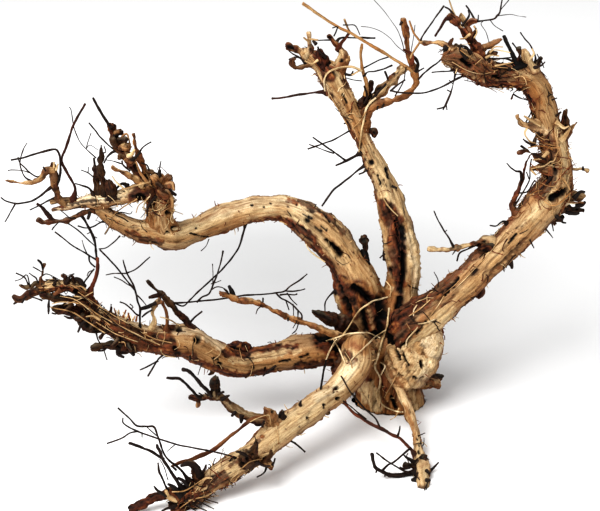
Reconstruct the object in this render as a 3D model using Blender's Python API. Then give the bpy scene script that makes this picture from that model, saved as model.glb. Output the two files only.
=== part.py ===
# Tree-shaped aquarium driftwood: one grown piece of root wood on a flat-worn stump, with four
# bent limbs, a front leg and many knots, stubs, branches and stiff twigs, all of one solid.
# Metres, +Z up. The origin is the middle of the stump's flat foot, and the front faces -Y.
import math

import bmesh
import bpy
import numpy as np
from mathutils import Vector, noise

MM = 0.001

# Every route below is drawn on a front sheet of millimetres, seen by a standing eye that looks
# down on the wood. A point is (across, down) on the sheet, its depth behind the foot's middle
# (towards the back is positive) and the wood's half thickness there.
EYE_DISTANCE = 1300 * MM
EYE_PITCH = math.radians(22)
SHEET_MIDDLE = (300.0, 255.5)
FOOT_ON_SHEET = (395.0, 400.0)

LIMB_RING_SPACING = 17 * MM   # between the rings of a thick limb
LIMB_SIDES_LEVEL = 3          # bevel levels of a curve: 3 gives 10 sides, 1 gives 6, 0 gives 4
BRANCH_SIDES_LEVEL = 1
TWIG_SIDES_LEVEL = 0
BRANCH_MIN_RADIUS = 2.8       # a stem that is nowhere thicker than this, in sheet mm, is a twig
STRAIGHT_WITHIN = 0.7 * MM    # a stem's point goes where the line without it is this close
LUMP_HEIGHT = 1.6 * MM        # of the worn lumps over the thick limbs
LUMP_LENGTH = 26 * MM
WELD = 0.02 * MM
FACES_KEPT = 0.7              # share of the joined body's faces that stay
BURL_ROUNDNESS = 3            # subdivisions of a burl's icosphere
FOOT_BLOCK = (0.9, 0.9, 0.2)  # cuts everything below the foot's plane
SHARP_ANGLE = math.radians(50)

WOOD_COLOUR = (0.42, 0.25, 0.11, 1.0)
WOOD_ROUGHNESS = 0.72

# Thick limbs: (across, down, depth, radius) from the root outwards
STUMP = [(394, 326, 16, 26), (392, 348, 10, 30), (390, 370, 5, 32.5), (389, 390, 3, 33),
         (388, 418, 2, 35)]
CROWN = [(362, 314, 10, 20), (378, 318, 18, 26), (394, 324, 22, 29), (410, 330, 17, 26),
         (424, 334, 8, 20)]
ARCH_LIMB = [
    (374, 322, 6, 24), (362, 300, 0, 24), (355, 280, -2, 22), (350, 268, -3, 19), (343, 256, -2, 18.5),
    (333, 243, 0, 19.5), (322, 232, 3, 20), (312, 224, 6, 18), (300, 216, 9, 15.5), (285, 209, 10, 12.5),
    (270, 208, 9, 12), (255, 209.5, 7, 12.5), (240, 212.5, 3, 13), (225, 217, -2, 13.5),
    (212, 223, -8, 13.5), (200, 228.5, -14, 13), (190, 231.5, -19, 13.5), (177, 236, -27, 13),
    (165, 236, -33, 12.5), (150, 233, -38, 11), (135, 230, -42, 10.8), (120, 223, -47, 9.3),
    (108, 216, -50, 7.5), (99, 210, -52, 5),
]
ARCH_CROWN = [
    (172, 236, -30, 10), (162, 225, -35, 12.5), (159.5, 212, -38, 12.5), (159, 200, -41, 12.5),
    (158, 190, -44, 11), (157, 180, -46, 7.5),
]
ARCH_PALE_BRANCH = [
    (158, 192, -43, 9), (145, 191, -46, 8.5), (135, 193, -49, 8.5), (120, 197, -52, 7.5),
    (105, 200, -55, 7.5), (90, 201, -57, 7), (75, 204, -59, 5), (65, 207, -60, 3.5), (53, 209.5, -61, 2),
]
LOW_LIMB = [
    (372, 348, -2, 19), (352, 348, -9, 16.5), (335, 349, -14, 15.5), (318, 350, -19, 16),
    (300, 352, -25, 17), (288, 355, -29, 15.5), (272, 359, -33, 13.5), (257, 361, -37, 13),
    (243, 364, -41, 13.5), (230, 362, -44, 13.5), (217, 356.5, -48, 14.5), (205, 350.5, -52, 14.8),
    (195, 345, -55, 15.5), (185, 341, -58, 16), (170, 340, -63, 15), (155, 339, -67, 14),
    (145, 338, -70, 13.5), (135, 335, -73, 13), (125, 330, -76, 12), (115, 325, -78, 10.5),
    (104, 320, -80, 10), (96, 313, -83, 9), (90, 304, -85, 7.5), (85, 297, -87, 6.5),
    (78, 290, -89, 5.5), (70, 285, -91, 5), (60, 285, -93, 5), (50, 286, -95, 5.5), (41, 287, -96, 4.8),
]
CENTRE_LIMB = [
    (398, 335, 8, 20), (400, 312, 5, 18), (401, 290, 5, 16.7), (403, 270, 6, 16.2), (401.5, 250, 8, 16.3),
    (398, 230, 10, 16), (393, 210, 12, 14.8), (387, 190, 14, 11.8), (380, 175, 15, 10.3),
    (371, 156, 16, 9.6), (363.5, 140, 17, 8.3), (357, 125, 18, 9.2), (350, 110, 19, 9.8),
    (344, 98, 19, 11.2), (336, 86, 20, 11.6), (330, 75, 20, 12), (322, 66, 21, 9), (312, 57, 22, 7),
    (305, 53, 23, 5.5),
]
RIGHT_LIMB = [
    (400, 350, -4, 19), (404, 336, -9, 22), (414, 325, -14, 21.5), (429, 313, -17, 19.5),
    (443, 303, -19, 17.5),
    (459, 290, -20, 16.4), (473, 277, -19, 15.7), (488, 262, -18, 16), (503, 248, -16, 16.3),
    (519, 232, -14, 17), (534, 215, -12, 18), (546, 200, -11, 19), (554, 186, -10, 17),
    (556, 170, -10, 14.5), (555, 155, -10, 14), (552, 140, -11, 13.5), (549, 125, -12, 11.5),
    (545, 112, -14, 12.5), (541, 100, -16, 12), (536, 88, -19, 13), (528, 78, -22, 13),
    (516, 75, -25, 12.5), (503, 76, -28, 12), (490, 74, -31, 12), (478, 69, -34, 12),
    (466, 62, -37, 12), (456, 57, -40, 11), (449, 57, -42, 8.5),
]
FRONT_LIMB = [
    (364, 354, -28, 14), (357, 349, -44, 15), (356, 366, -56, 15), (347, 380, -68, 14.3),
    (335, 392, -80, 13.5), (320, 403, -96, 13), (305, 414, -112, 13.5), (285, 427, -131, 14.2),
    (268, 441, -146, 13.6), (254, 454, -158, 13), (240, 463, -167, 13), (225, 472, -176, 12.3),
    (210, 482, -182, 12), (196, 492, -188, 11.5), (184, 500, -194, 10), (176, 505, -198, 8),
]
FRONT_LEG = [
    (389, 366, -14, 8), (394, 378, -27, 5.4), (402, 395, -46, 5.5), (408, 408, -63, 5.6),
    (412, 420, -78, 5.4), (416, 432, -92, 5.2), (418, 445, -109, 5.6), (420, 458, -124, 6.6),
    (422, 468, -137, 7.4), (422, 478, -150, 6.2), (423, 487, -160, 5),
]
THICK_LIMBS = {
    "stump": STUMP, "crown": CROWN, "archLimb": ARCH_LIMB, "archCrown": ARCH_CROWN,
    "archPaleBranch": ARCH_PALE_BRANCH, "lowLimb": LOW_LIMB, "centreLimb": CENTRE_LIMB,
    "rightLimb": RIGHT_LIMB, "frontLimb": FRONT_LIMB, "frontLeg": FRONT_LEG,
}

# Burls, as (across, down, depth) and the half sizes along X, Y and Z in mm
BURLS = {
    "brainBurl": ((410, 364, -20), (25, 25, 25.5)),
    "brainBurlSide": ((424, 344, -17), (21, 20, 19)),
    "rightBurlLip": ((425, 365, -24), (13, 15, 13)),
    "darkRidge": ((238, 351, -33), (12.5, 10, 9.5)),
    "backBurl": ((396, 352, 30), (30, 16, 26)),
}

# Stems: depth at the root, depth at the tip, then (across, down, radius) from root to tip
ARCH_HEAD = [
    (-57, -62, [(82, 203, 3), (70, 200, 2.2), (60, 201, 2.2), (51, 202.5, 2.3)]),
    (-46, -28, [(152, 188, 7), (142, 178, 5.5), (135, 170, 5), (130, 160, 5), (124, 152, 6),
                (118, 145, 6), (113, 135, 4.6), (112, 126, 4.4)]),
    (-44, -58, [(147, 180, 4), (141, 163, 3), (137, 150, 2.5), (134.5, 143, 2.3), (133.5, 134, 2)]),
    (-50, -66, [(150, 190, 5), (141, 184, 4.2), (133, 178, 3.6), (125, 173, 3), (118, 170, 2.2),
                (112, 166.5, 1.2)]),
    (-56, -58, [(112, 199, 6), (109, 187, 6.4), (108, 182, 4)]),
    (-55, -66, [(104, 198, 5), (102, 178, 3.5), (100, 162, 3.2), (101, 155, 2), (101, 145, 1.3)]),
    (-56, -50, [(99, 199, 4), (97, 180, 3), (95, 172, 3.3), (94, 165, 2), (94, 158, 1.5)]),
    (-56, -62, [(96, 199, 2), (90, 189, 1.2), (82, 185.5, 0.9), (75, 183.5, 0.7)]),
    (-58, -76, [(73, 204, 3), (75, 189, 1.6), (71, 180, 1.4), (63, 165, 1.4), (62, 158, 1.3),
                (66, 147, 1.6), (70, 135, 1.4), (74, 124, 1.4), (85, 104, 1.3)]),
    (-34, -48, [(119, 151, 1.6), (112, 148, 0.9), (101, 138, 0.8), (95, 130, 0.8), (89, 123, 0.7)]),
    (-30, -44, [(113, 131, 2.2), (109, 125, 1.5), (99.5, 110, 1.4), (93, 98, 1.3)]),
    (-36, -30, [(120, 150, 1.6), (113, 152, 1.4), (107, 157, 0.9), (104, 163, 0.8)]),
    (-51, -62, [(138.7, 158, 1.4), (141, 150, 0.9), (146, 145, 0.8), (151, 142, 0.8)]),
    (-48, -52, [(156, 184, 4.5), (154, 175, 2.8), (147, 171, 1.6)]),
    (-46, -44, [(160, 197, 9), (164, 186, 6.5), (164, 179, 3.4)]),
    (-61, -64, [(66, 206, 3.2), (58, 196, 2.8), (55, 188, 3), (54, 181, 4.2), (54, 172, 4.2),
                (53, 163, 3)]),
    (-62, -84, [(56, 186, 2.2), (60, 174, 1.4), (60, 160, 1.2), (58, 152, 1.2), (53, 149, 1.2),
                (35, 154, 1.1), (22, 158, 1.1), (11, 160, 1)]),
    (-68, -60, [(32, 182, 1.4), (25, 177, 0.8), (22, 171, 0.7), (20, 162, 0.7), (23, 150, 0.7),
                (27, 143, 0.6)]),
    (-65, -72, [(45.5, 173.5, 1.8), (38, 177, 0.9), (30, 173, 0.8), (25, 168, 0.7), (20, 163, 0.7),
                (18, 157, 0.7)]),
    (-64, -72, [(54, 170, 3.6), (46, 171, 4), (42, 177, 3), (37, 181, 2.3), (30, 183, 2),
                (20, 183, 1.5), (12, 181.5, 1.4), (6.5, 180, 1.2)]),
    (-64, -90, [(53, 186, 2.3), (46, 191, 1.4), (40, 196, 1.2), (32, 201, 1.1), (22, 203, 1),
                (15, 203.5, 0.9), (6, 201, 0.8), (1, 197.5, 0.7)]),
    (-83, -92, [(15.5, 203.5, 1), (11, 211, 0.7), (8, 217, 0.7), (5, 222, 0.6)]),
    (-62, -55, [(58, 197, 1.8), (48, 201, 0.9), (40, 205, 0.8), (30, 210, 0.7)]),
    (-46, -66, [(125, 224, 5.5), (112, 214, 3.6), (105, 211, 3.2), (92, 211, 3), (82, 214, 2.5),
                (72, 219, 2.2), (62, 221, 2.2), (52, 222, 2.3), (43, 222, 2), (38, 219.5, 2)]),
    (-60.5, -54, [(64, 221.3, 2.2), (57, 221, 1.8), (52, 219, 2), (46, 213, 2.2), (41, 207, 1.8),
                  (37, 204, 1.5)]),
    (-57, -48, [(80, 214, 1.8), (84, 219, 1.3), (88, 226, 1.3), (92, 234, 1.3), (95, 243, 1.3),
                (97, 261, 1.1)]),
    (-49, -56, [(115, 221, 1.6), (102, 222, 0.9), (94, 226.5, 0.8), (86, 228, 0.7), (78, 226, 0.7)]),
    (-49, -46, [(114, 219, 1.6), (109, 227, 0.9), (105, 234, 0.8)]),
    (-61, -50, [(64.5, 221.3, 1.4), (72, 226, 0.7), (80, 232, 0.7), (88, 240, 0.7), (95, 246, 0.7)]),
    (-48, -66, [(97.5, 260.5, 1.1), (90, 256, 0.9), (85, 253, 0.9), (73, 246, 0.8), (64, 239, 0.8),
                (55, 232, 0.8)]),
    (-51, -44, [(89, 255.5, 1), (90, 262, 0.9), (95, 267, 0.8)]),
]
ARCH_TWIGS = [
    (0, -34, [(246, 219, 1.8), (243, 234, 1), (238, 249, 0.9), (227, 264, 0.9), (213, 278, 0.9),
              (200, 290, 0.8), (190, 300, 0.8), (183, 306, 0.8), (174, 303, 0.8)]),
    (-2, -6, [(357, 264, 4), (364, 254, 3.2), (365, 247, 3.2), (364, 241, 4.3), (363, 237, 3.2)]),
    (-4, -6, [(363, 250, 2.6), (367, 258, 2), (369, 265, 0.9)]),
    (-8, -16, [(339, 290, 2), (333, 293, 1.1), (328, 298, 0.9), (325, 304, 0.8), (325, 311, 0.7)]),
]
LOW_HEAD = [
    (-95, -100, [(44, 287, 4.4), (36, 291, 3.8), (30, 294, 3.6), (24, 297, 4), (18, 299, 3.8),
                 (13, 297, 2.5)]),
    (-95, -108, [(44, 285, 4.2), (36, 284, 3.2), (31, 287, 3.1), (25, 288, 3), (20, 286, 2)]),
    (-84, -102, [(93, 309, 6), (83, 305, 5), (76, 301, 4), (67, 299, 3), (57, 298, 4.5), (47, 296, 3.6),
                 (40, 294, 2.5)]),
    (-82, -92, [(102, 325, 7), (94, 330, 5), (87, 325, 6), (80, 317, 6), (72, 311, 6), (62, 309, 5.5),
                (53, 309, 2)]),
    (-87, -80, [(86, 297, 4.5), (90, 290, 2.5), (95, 280, 1.8), (97, 272, 2), (97.5, 265, 1.7),
                (97.5, 258, 1.7)]),
    (-89, -82, [(81, 292, 2), (84, 283, 0.9), (88, 277, 0.8), (94, 269, 0.8)]),
    (-96, -102, [(43, 287, 3.8), (41, 280, 3), (42, 276, 2), (43, 270, 1.6), (44, 264, 2)]),
    (-101, -108, [(43, 269, 1.5), (41, 263, 1.2), (38, 260, 1.1)]),
    (-103, -108, [(29, 287, 1.8), (27, 282, 0.9), (24, 277, 0.8), (16, 273, 0.7)]),
    (-98, -99, [(49, 296, 1.5), (49, 300, 1), (48.5, 307.5, 1.6), (48.5, 314, 0.7)]),
    (-92, -94, [(67, 286, 4.4), (66, 278, 2.5), (63, 275, 1.2)]),
    (-90, -92, [(72, 286, 3.5), (72, 276, 1.3)]),
    (-74, -84, [(137, 343, 7), (130, 347, 7), (122, 347, 8), (115, 346, 7), (108, 345, 3.5),
                (100, 346, 3), (92, 348, 2.5)]),
    (-79, -82, [(113, 321, 4.5), (111, 312, 2.5), (111, 304, 1.4)]),
    (-54, -68, [(196, 338, 6), (188, 323, 3.8), (183, 318, 3.5), (176, 310, 3.5), (170, 303, 3.2),
                (163, 297, 3.2), (157, 291, 3), (152, 286, 2), (147, 281, 1.5)]),
    (-65, -68, [(160, 295, 2.6), (149, 297.5, 1.5)]),
    (-70, -74, [(147, 339, 4), (153, 328, 3), (155, 320, 2.5), (153, 312, 2.5), (156, 304, 2.8),
                (160, 301, 3.8)]),
    (-68, -72, [(166, 332, 2.5), (167, 315, 1.4), (162, 302, 1.8)]),
    (-74, -80, [(156, 303, 2.4), (153, 304, 1.9), (147, 307, 1.9), (140.5, 309, 1.9)]),
    (-72, -98, [(142, 334, 2.4), (140, 327, 1.2), (140, 310, 1.2), (138, 302, 1.1), (134, 287, 1),
                (131, 281, 0.9), (127, 274, 0.9), (125, 268, 0.8), (123, 260, 0.7)]),
    (-87, -108, [(134.8, 290, 1.1), (128, 282, 0.9), (116, 267, 0.9), (108, 258, 0.8), (100, 250, 0.8)]),
    (-93.5, -82, [(126.5, 273.3, 1), (134, 270, 0.8), (142, 264, 0.8), (150, 257, 0.7)]),
    (-66, -72, [(166, 348, 2.2), (162, 356, 1.1), (158, 360, 1), (148, 376, 0.8)]),
    (-56, -50, [(187, 327, 1.8), (193, 319, 0.9), (202, 311.5, 0.8)]),
    (-48, -54, [(217, 364, 4), (212, 372, 1.9), (208, 374.5, 1.3)]),
    (-20, -32, [(298, 346, 5), (283, 348, 4.6), (270, 350.5, 5.4), (256, 353, 6.4), (244, 353, 8)]),
]
MIDDLE_TWIGS = [
    (-30, -68, [(354, 339, 5), (345, 336, 3.5), (335, 333.5, 3.5), (325, 330.5, 3.6), (315, 327, 3.5),
                (305, 323, 3.2), (288, 317, 3), (272, 309, 2.9), (256, 302, 3), (240, 300, 2.6),
                (233, 298, 2.6), (228, 295, 3), (220, 293, 2.8)]),
    (-64, -60, [(235.5, 299.3, 2.3), (233, 295, 2.3), (231, 290, 2), (229, 286, 1.8)]),
    (-62.5, -22, [(168, 303, 2), (185, 302.5, 0.9), (222, 299, 0.9), (240, 296, 0.9), (276, 293, 0.9),
                (285, 291, 1), (290, 286.5, 0.8), (300, 280, 0.8), (307, 274, 0.7)]),
    (-54.5, -70, [(197, 302.2, 1.1), (202, 297, 0.9), (208, 294.5, 0.9), (211, 290, 0.9), (218, 272, 0.8),
                (222, 257, 0.8), (223, 251, 1.1)]),
    (-45.5, -26, [(301, 321.4, 1.4), (302, 315, 0.9), (298, 310, 0.9), (293, 305, 1), (287, 301, 0.9),
                (281, 298, 0.9), (276, 293, 0.8)]),
    (-8, -30, [(354, 327, 9), (340, 322, 8.5), (331, 319.5, 7), (323, 316.5, 5), (317, 313.5, 3),
               (312.5, 311.5, 1.2)]),
    (-22, -28, [(342, 356, 8.5), (339, 366, 8), (337, 374, 5.5)]),
    (-24, -18, [(331, 352, 2), (325, 366, 1.1), (323, 375, 1.1), (320.5, 389, 1.2)]),
    (-2, -8, [(373, 334, 4.5), (371, 318, 5), (367, 309, 2.2)]),
]
CENTRE_HEAD = [
    (22, 30, [(309, 55, 6), (300, 50.5, 4), (294, 48.5, 4.8), (288, 47, 3.4)]),
    (22, 16, [(309, 57, 5), (310, 47, 3), (309, 40, 1.7), (309, 33, 2.3)]),
    (22, 12, [(313, 61, 5), (305, 65, 2.6), (298, 67.3, 2.1), (293, 66, 2.1), (291.5, 61, 1.4),
              (294, 58.5, 1.1)]),
    (18.5, 24, [(306, 63, 2), (301, 58.5, 1), (296, 57, 0.9), (289, 59.5, 0.8)]),
    (20, 12, [(327, 70, 7.5), (322, 58, 5.6), (319, 52, 3.6)]),
    (20, 26, [(334, 76, 8.5), (340, 65, 7.2), (343, 56, 5), (340, 50, 3.8), (337, 46, 2.6),
              (333, 41, 2.4), (329, 36, 3)]),
    (22, 18, [(343, 63, 3.5), (349, 60, 2.1), (349, 56, 1.9)]),
    (24, 14, [(338, 50, 3.2), (341, 44, 2), (346, 38, 1.6), (350, 32, 1.4)]),
    (25, 40, [(336.5, 47, 2.3), (339, 39, 1.4), (350, 37.5, 1), (375, 38, 1)]),
    (18.5, 12, [(329, 94, 2.2), (324, 84, 1), (325, 77, 1), (329, 72, 1), (335, 69, 1), (350, 66.5, 1.1),
                (362, 71, 1.4)]),
    (17, 36, [(330, 93, 2.6), (320, 92, 1.7), (305, 94, 1.1), (296, 95, 1.2), (280, 98, 1),
              (272, 98.5, 1.1)]),
]
CENTRE_BRANCHES = [
    (18, 34, [(359, 122, 7.5), (366, 106, 5.6), (375, 97, 5.2), (388, 84, 4.6), (395, 77, 4.5),
              (402, 70, 4.5), (405, 66.5, 4.3)]),
    (16, 4, [(363, 130, 6.5), (367, 112, 5.5), (376, 106, 4.6), (384, 103, 4.1), (392, 100, 3.6),
             (400, 97, 3.4),
             (407, 93, 3.3), (413, 88, 3.1), (415.7, 82, 3), (416, 76, 3), (414, 68, 3.8), (409, 60, 3),
             (407.5, 52, 2.1), (406.5, 42, 2.3), (406, 30, 3), (404, 24, 2.8), (403, 19, 2)]),
    (6, 0, [(412, 64, 2.4), (412, 55, 1.7), (408, 52, 1.5), (403.5, 49.5, 1.1)]),
    (7, 10, [(414.5, 71.5, 2.6), (418, 65, 1.5), (416, 59, 1.5), (413, 56, 1.3)]),
    (19, 24, [(360.5, 107, 5.5), (366, 97, 4.4), (368, 92, 3.3), (369.5, 87, 2.1), (371, 82, 1.6)]),
    (20, 12, [(366, 95, 3), (367, 85, 2), (364, 76, 1.8), (362, 68, 1.7), (361, 60, 1.4), (361, 52, 1.5),
              (361.5, 48, 1.9), (362, 44, 1.2)]),
    (16.5, 4, [(363.5, 76, 1.4), (368, 72, 0.8), (375, 71.5, 0.8), (384, 69, 0.8), (392, 65.5, 1)]),
    (15.6, 26, [(362, 69, 1.2), (372, 64, 0.7), (380, 60, 0.7), (390, 56.5, 0.7)]),
    (7.5, 2, [(414, 72.5, 2.4), (400, 63, 1.6), (380, 50.5, 1.6), (360, 38.5, 1.5), (348, 31.5, 1.6),
              (337, 26.5, 1.4),
            (320, 15.5, 1.4), (303, 3.5, 1.5)]),
    (14, 9, [(350, 32.5, 1.3), (347, 26, 1.1), (344.5, 19.5, 1.1)]),
    (16, 12, [(365, 128, 3), (370, 129, 2.2), (374, 132.5, 3.8), (374, 137, 3)]),
]
CENTRE_TWIGS = [
    (18, 0, [(358, 127, 2.2), (350, 130.5, 0.9), (335, 139, 0.8), (325, 143, 0.8), (308, 149, 1)]),
    (16, 4, [(366, 151, 2.4), (355, 156, 1.4), (348, 160, 1.3), (336, 165.5, 1.1)]),
    (8, -16, [(346, 161, 1.3), (338, 155, 1), (330, 149.5, 0.9), (313, 137.5, 0.8)]),
    (16, -4, [(371, 161, 2.2), (357, 171, 1), (350, 177, 1), (343, 182.5, 1), (333, 191, 1.2),
              (322, 206, 0.9)]),
    (14, 8, [(373, 166, 2), (364, 172, 0.9), (359, 174, 0.8)]),
    (8, 4, [(391, 246, 2.2), (385, 253, 1.6), (384, 260, 1.1)]),
]
RIGHT_BRANCHES = [
    (-17, -36, [(496, 243, 8), (486, 241, 6), (478, 243.5, 4), (472, 244, 3.2), (465, 246, 2.4),
                (455, 248, 2.1),
                (445, 249.5, 1.7), (436, 250, 1.7), (429, 249, 2.3)]),
    (-20, -28, [(494, 246, 6.5), (485, 247, 5), (480, 250, 3.4)]),
    (-29, -44, [(454, 248, 1.8), (449, 238, 0.9), (445, 232, 0.8), (438, 220, 0.8), (434, 211, 0.7)]),
    (-24, -30, [(476, 244.5, 2), (468, 249, 0.9), (460, 253, 1), (457, 261, 0.9)]),
    (-14, -26, [(512, 226, 3), (504, 221.5, 1.2), (500, 223, 0.9), (496, 226, 0.8), (490, 225.5, 0.7)]),
    (-14, -12, [(522, 221, 6), (512, 206, 3), (514.5, 199, 2.2), (517, 192, 2), (522, 180, 1.5),
                (525.5, 168, 1.4),
                (527, 161, 1.4), (531, 154, 1.5), (540, 157, 3)]),
    (-13.3, -34, [(521.8, 180, 1.8), (520, 172, 1.5), (516, 171, 1), (511, 168, 0.8), (507, 163.5, 0.7)]),
    (-14, -18, [(513, 207, 1.6), (519, 199, 0.8), (529, 181, 0.8), (530, 168, 0.7), (531.5, 159, 0.7)]),
    (-12, -26, [(544, 160, 5), (533, 154, 1.8), (527, 150, 1.6), (522, 151, 1.8), (518, 153, 1.2)]),
    (-21, -22, [(527, 150.5, 1.5), (524, 148, 1.2), (521, 146, 1.3)]),
    (-14, -22, [(548, 166, 7), (537, 168, 3), (531, 169, 1.8)]),
    (-13, -24, [(547, 128, 9), (536, 126, 8), (528, 125, 5.4), (522, 124, 3.5), (518, 119, 2),
                (516.8, 115, 1.1)]),
    (-16, -24, [(542, 130, 5), (536, 137, 2), (534.5, 143, 1.9), (532, 146, 1.2)]),
    (-9, 6, [(559, 152, 6), (563, 140, 4.2), (567, 135, 3.3), (571, 129, 3), (574, 125, 2.6),
             (577, 121.5, 1.7)]),
    (-10, -16, [(561, 144, 4.5), (564, 133, 3.9), (565.5, 124, 4.2), (565, 116, 2.7), (565, 110, 2)]),
    (-8, -2, [(560, 165, 6), (569, 168, 1.9), (575, 169.5, 1.7), (583, 169.5, 1.8), (587, 171, 1.8)]),
    (-3, -4, [(583, 170, 1.4), (583, 166.5, 1)]),
    (-6, -8, [(566, 167, 2.4), (570, 170, 1.1), (571, 178, 1.1), (571, 184, 1.7), (570, 188, 2.9),
              (568, 194, 3)]),
    (-10, -5, [(556, 200, 9), (567, 196, 6), (575, 196, 5), (580, 197, 4.5), (584, 196, 2.6)]),
    (-10, -4, [(552, 206, 8), (565, 208, 5.2), (572, 209.5, 4.3), (577, 209, 3.5), (584, 210, 2.1)]),
    (-14, -12, [(560, 202, 3.6), (570, 202.5, 1.7), (577, 203, 1.5), (584, 203, 1.4)]),
    (-11, -10, [(541, 217, 8), (552, 221, 3.2), (558, 218.5, 3), (563, 216, 1.8)]),
    (-11, -12, [(551, 219, 3.4), (555, 224, 1.7)]),
    (-10, -12, [(561, 217, 2.2), (562, 222, 1.3), (566, 223, 1)]),
    (-16, -16, [(507, 257, 4), (511, 265, 1.5), (511.5, 268, 1.1)]),
    (-20, -22, [(475, 285, 7), (481, 292, 4.4), (478, 297.5, 2)]),
    (-21, -28, [(527, 84, 4), (518, 90, 1.6), (513, 93, 1.2), (512, 99, 1.3)]),
]
RIGHT_HEAD = [
    (-34, -30, [(486, 64, 7), (480, 52, 4.6), (476, 46, 4.5), (470, 39, 4.7), (464, 31, 4.6),
                (459, 24, 4),
                (454, 18.5, 3.6), (449, 15.5, 3)]),
    (-32, -27, [(471, 37, 3.6), (467, 26, 3), (463, 19, 2.8), (461, 13, 1.2)]),
    (-30, -30, [(464, 27, 3), (471, 21.5, 2.6), (476.5, 21, 2.4)]),
    (-34, -37, [(472, 43, 4), (474, 35, 2.6), (475.5, 31, 2), (476, 27.5, 1.7)]),
    (-30, -37, [(454, 18.5, 3.4), (447, 18, 2.2), (444, 21, 1.7), (441, 27, 1.4), (435, 36, 1.1)]),
    (-34, -24, [(477, 50, 2), (470, 40, 1), (463, 30, 1), (458, 21, 1), (453, 11, 0.9),
                (448.5, -2, 0.7)]),
    (-30, -28, [(455, 18, 1.8), (450, 10, 0.9), (445, 7, 0.8)]),
    (-30, -22, [(476, 21.5, 1.5), (470, 11, 0.8), (466, 5.5, 0.8)]),
    (-33, -22, [(478, 54, 4.4), (481, 49.5, 2.7), (485, 47, 3), (491, 44, 3.1), (497, 41, 2.7),
                (501, 39, 2)]),
    (-34, -42, [(484, 60, 4), (490, 53, 2), (496, 53, 1.6)]),
    (-40, -43, [(452, 51, 5), (450, 45, 2.7), (453, 38, 1.3)]),
    (-40, -38, [(457, 52, 4.5), (456, 43.5, 1.6)]),
    (-42, -30, [(453, 51, 5), (449, 47.5, 3.4), (444, 45, 3), (438, 43.5, 2.3), (432, 43, 1.5),
                (419.5, 41.5, 1.2)]),
    (-41, -41, [(447, 46.5, 2.4), (445, 53, 1.2)]),
    (-30, -22, [(420.5, 41.5, 1.2), (418, 45, 1.1), (413, 53, 1.2), (410.5, 58, 1.3)]),
    (-30, -34, [(420.5, 42, 1.2), (415, 35, 1.1), (412, 28, 1.2), (409.5, 21, 1)]),
    (-30, -42, [(421, 42, 1.1), (421.7, 38, 0.9), (428, 28, 0.9), (436, 17, 0.9), (444, 6, 0.9)]),
    (-27, -18, [(518, 68, 5), (515, 60, 2.5), (512, 53, 2.1), (508, 45, 1.8), (504, 36, 1.7)]),
    (-26, -32, [(520, 68, 5), (519, 60, 2.5), (519.5, 54, 2.2), (519, 48, 2.3)]),
    (-29.5, -34, [(519.3, 52.5, 1.4), (517, 49, 0.9), (512.5, 43, 0.8)]),
    (-24, -21, [(532, 72, 8), (528, 62, 5.6), (526, 56, 4.3), (524, 50, 2.2)]),
    (-24, -14, [(533, 66, 2.4), (536, 58, 1.1), (531, 46, 0.9), (525, 39, 0.8), (520.5, 32.5, 0.7)]),
    (-22, -24, [(534, 69, 3.4), (540, 60, 1.6), (541.5, 58, 1.4)]),
    (-40, -12, [(470, 68, 4), (464, 75, 1.4), (456, 79.5, 1.1), (440, 87.5, 1), (432, 90.5, 1),
                (422, 93, 0.9),
                (402, 92.5, 0.9), (390.5, 90.5, 1)]),
    (-12, -18, [(390.5, 91, 1.1), (398, 85, 0.9), (405, 80, 1)]),
    (-42, -4, [(452, 57, 3), (445, 57, 1.2), (437, 63, 1), (424, 73, 0.9), (418.5, 79, 1)]),
    (-40, -54, [(464, 68, 2.4), (450, 71, 0.9), (440, 71.5, 0.7), (432, 72.5, 0.7)]),
    (-42, -58, [(456, 64, 2.4), (454.5, 77, 0.9), (451, 92, 0.8), (446, 104, 1.1), (444, 107, 0.9),
                (437, 109, 0.8)]),
    (-30, -16, [(475, 22, 1.4), (484, 20.5, 0.8), (494, 19, 0.8), (497, 16, 0.9), (500, 12, 0.8),
                (502.5, -3, 0.7)]),
    (-36, -26, [(487, 61, 3), (496, 59, 1), (506, 58.5, 0.9), (515, 62, 1.4)]),
]
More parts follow.
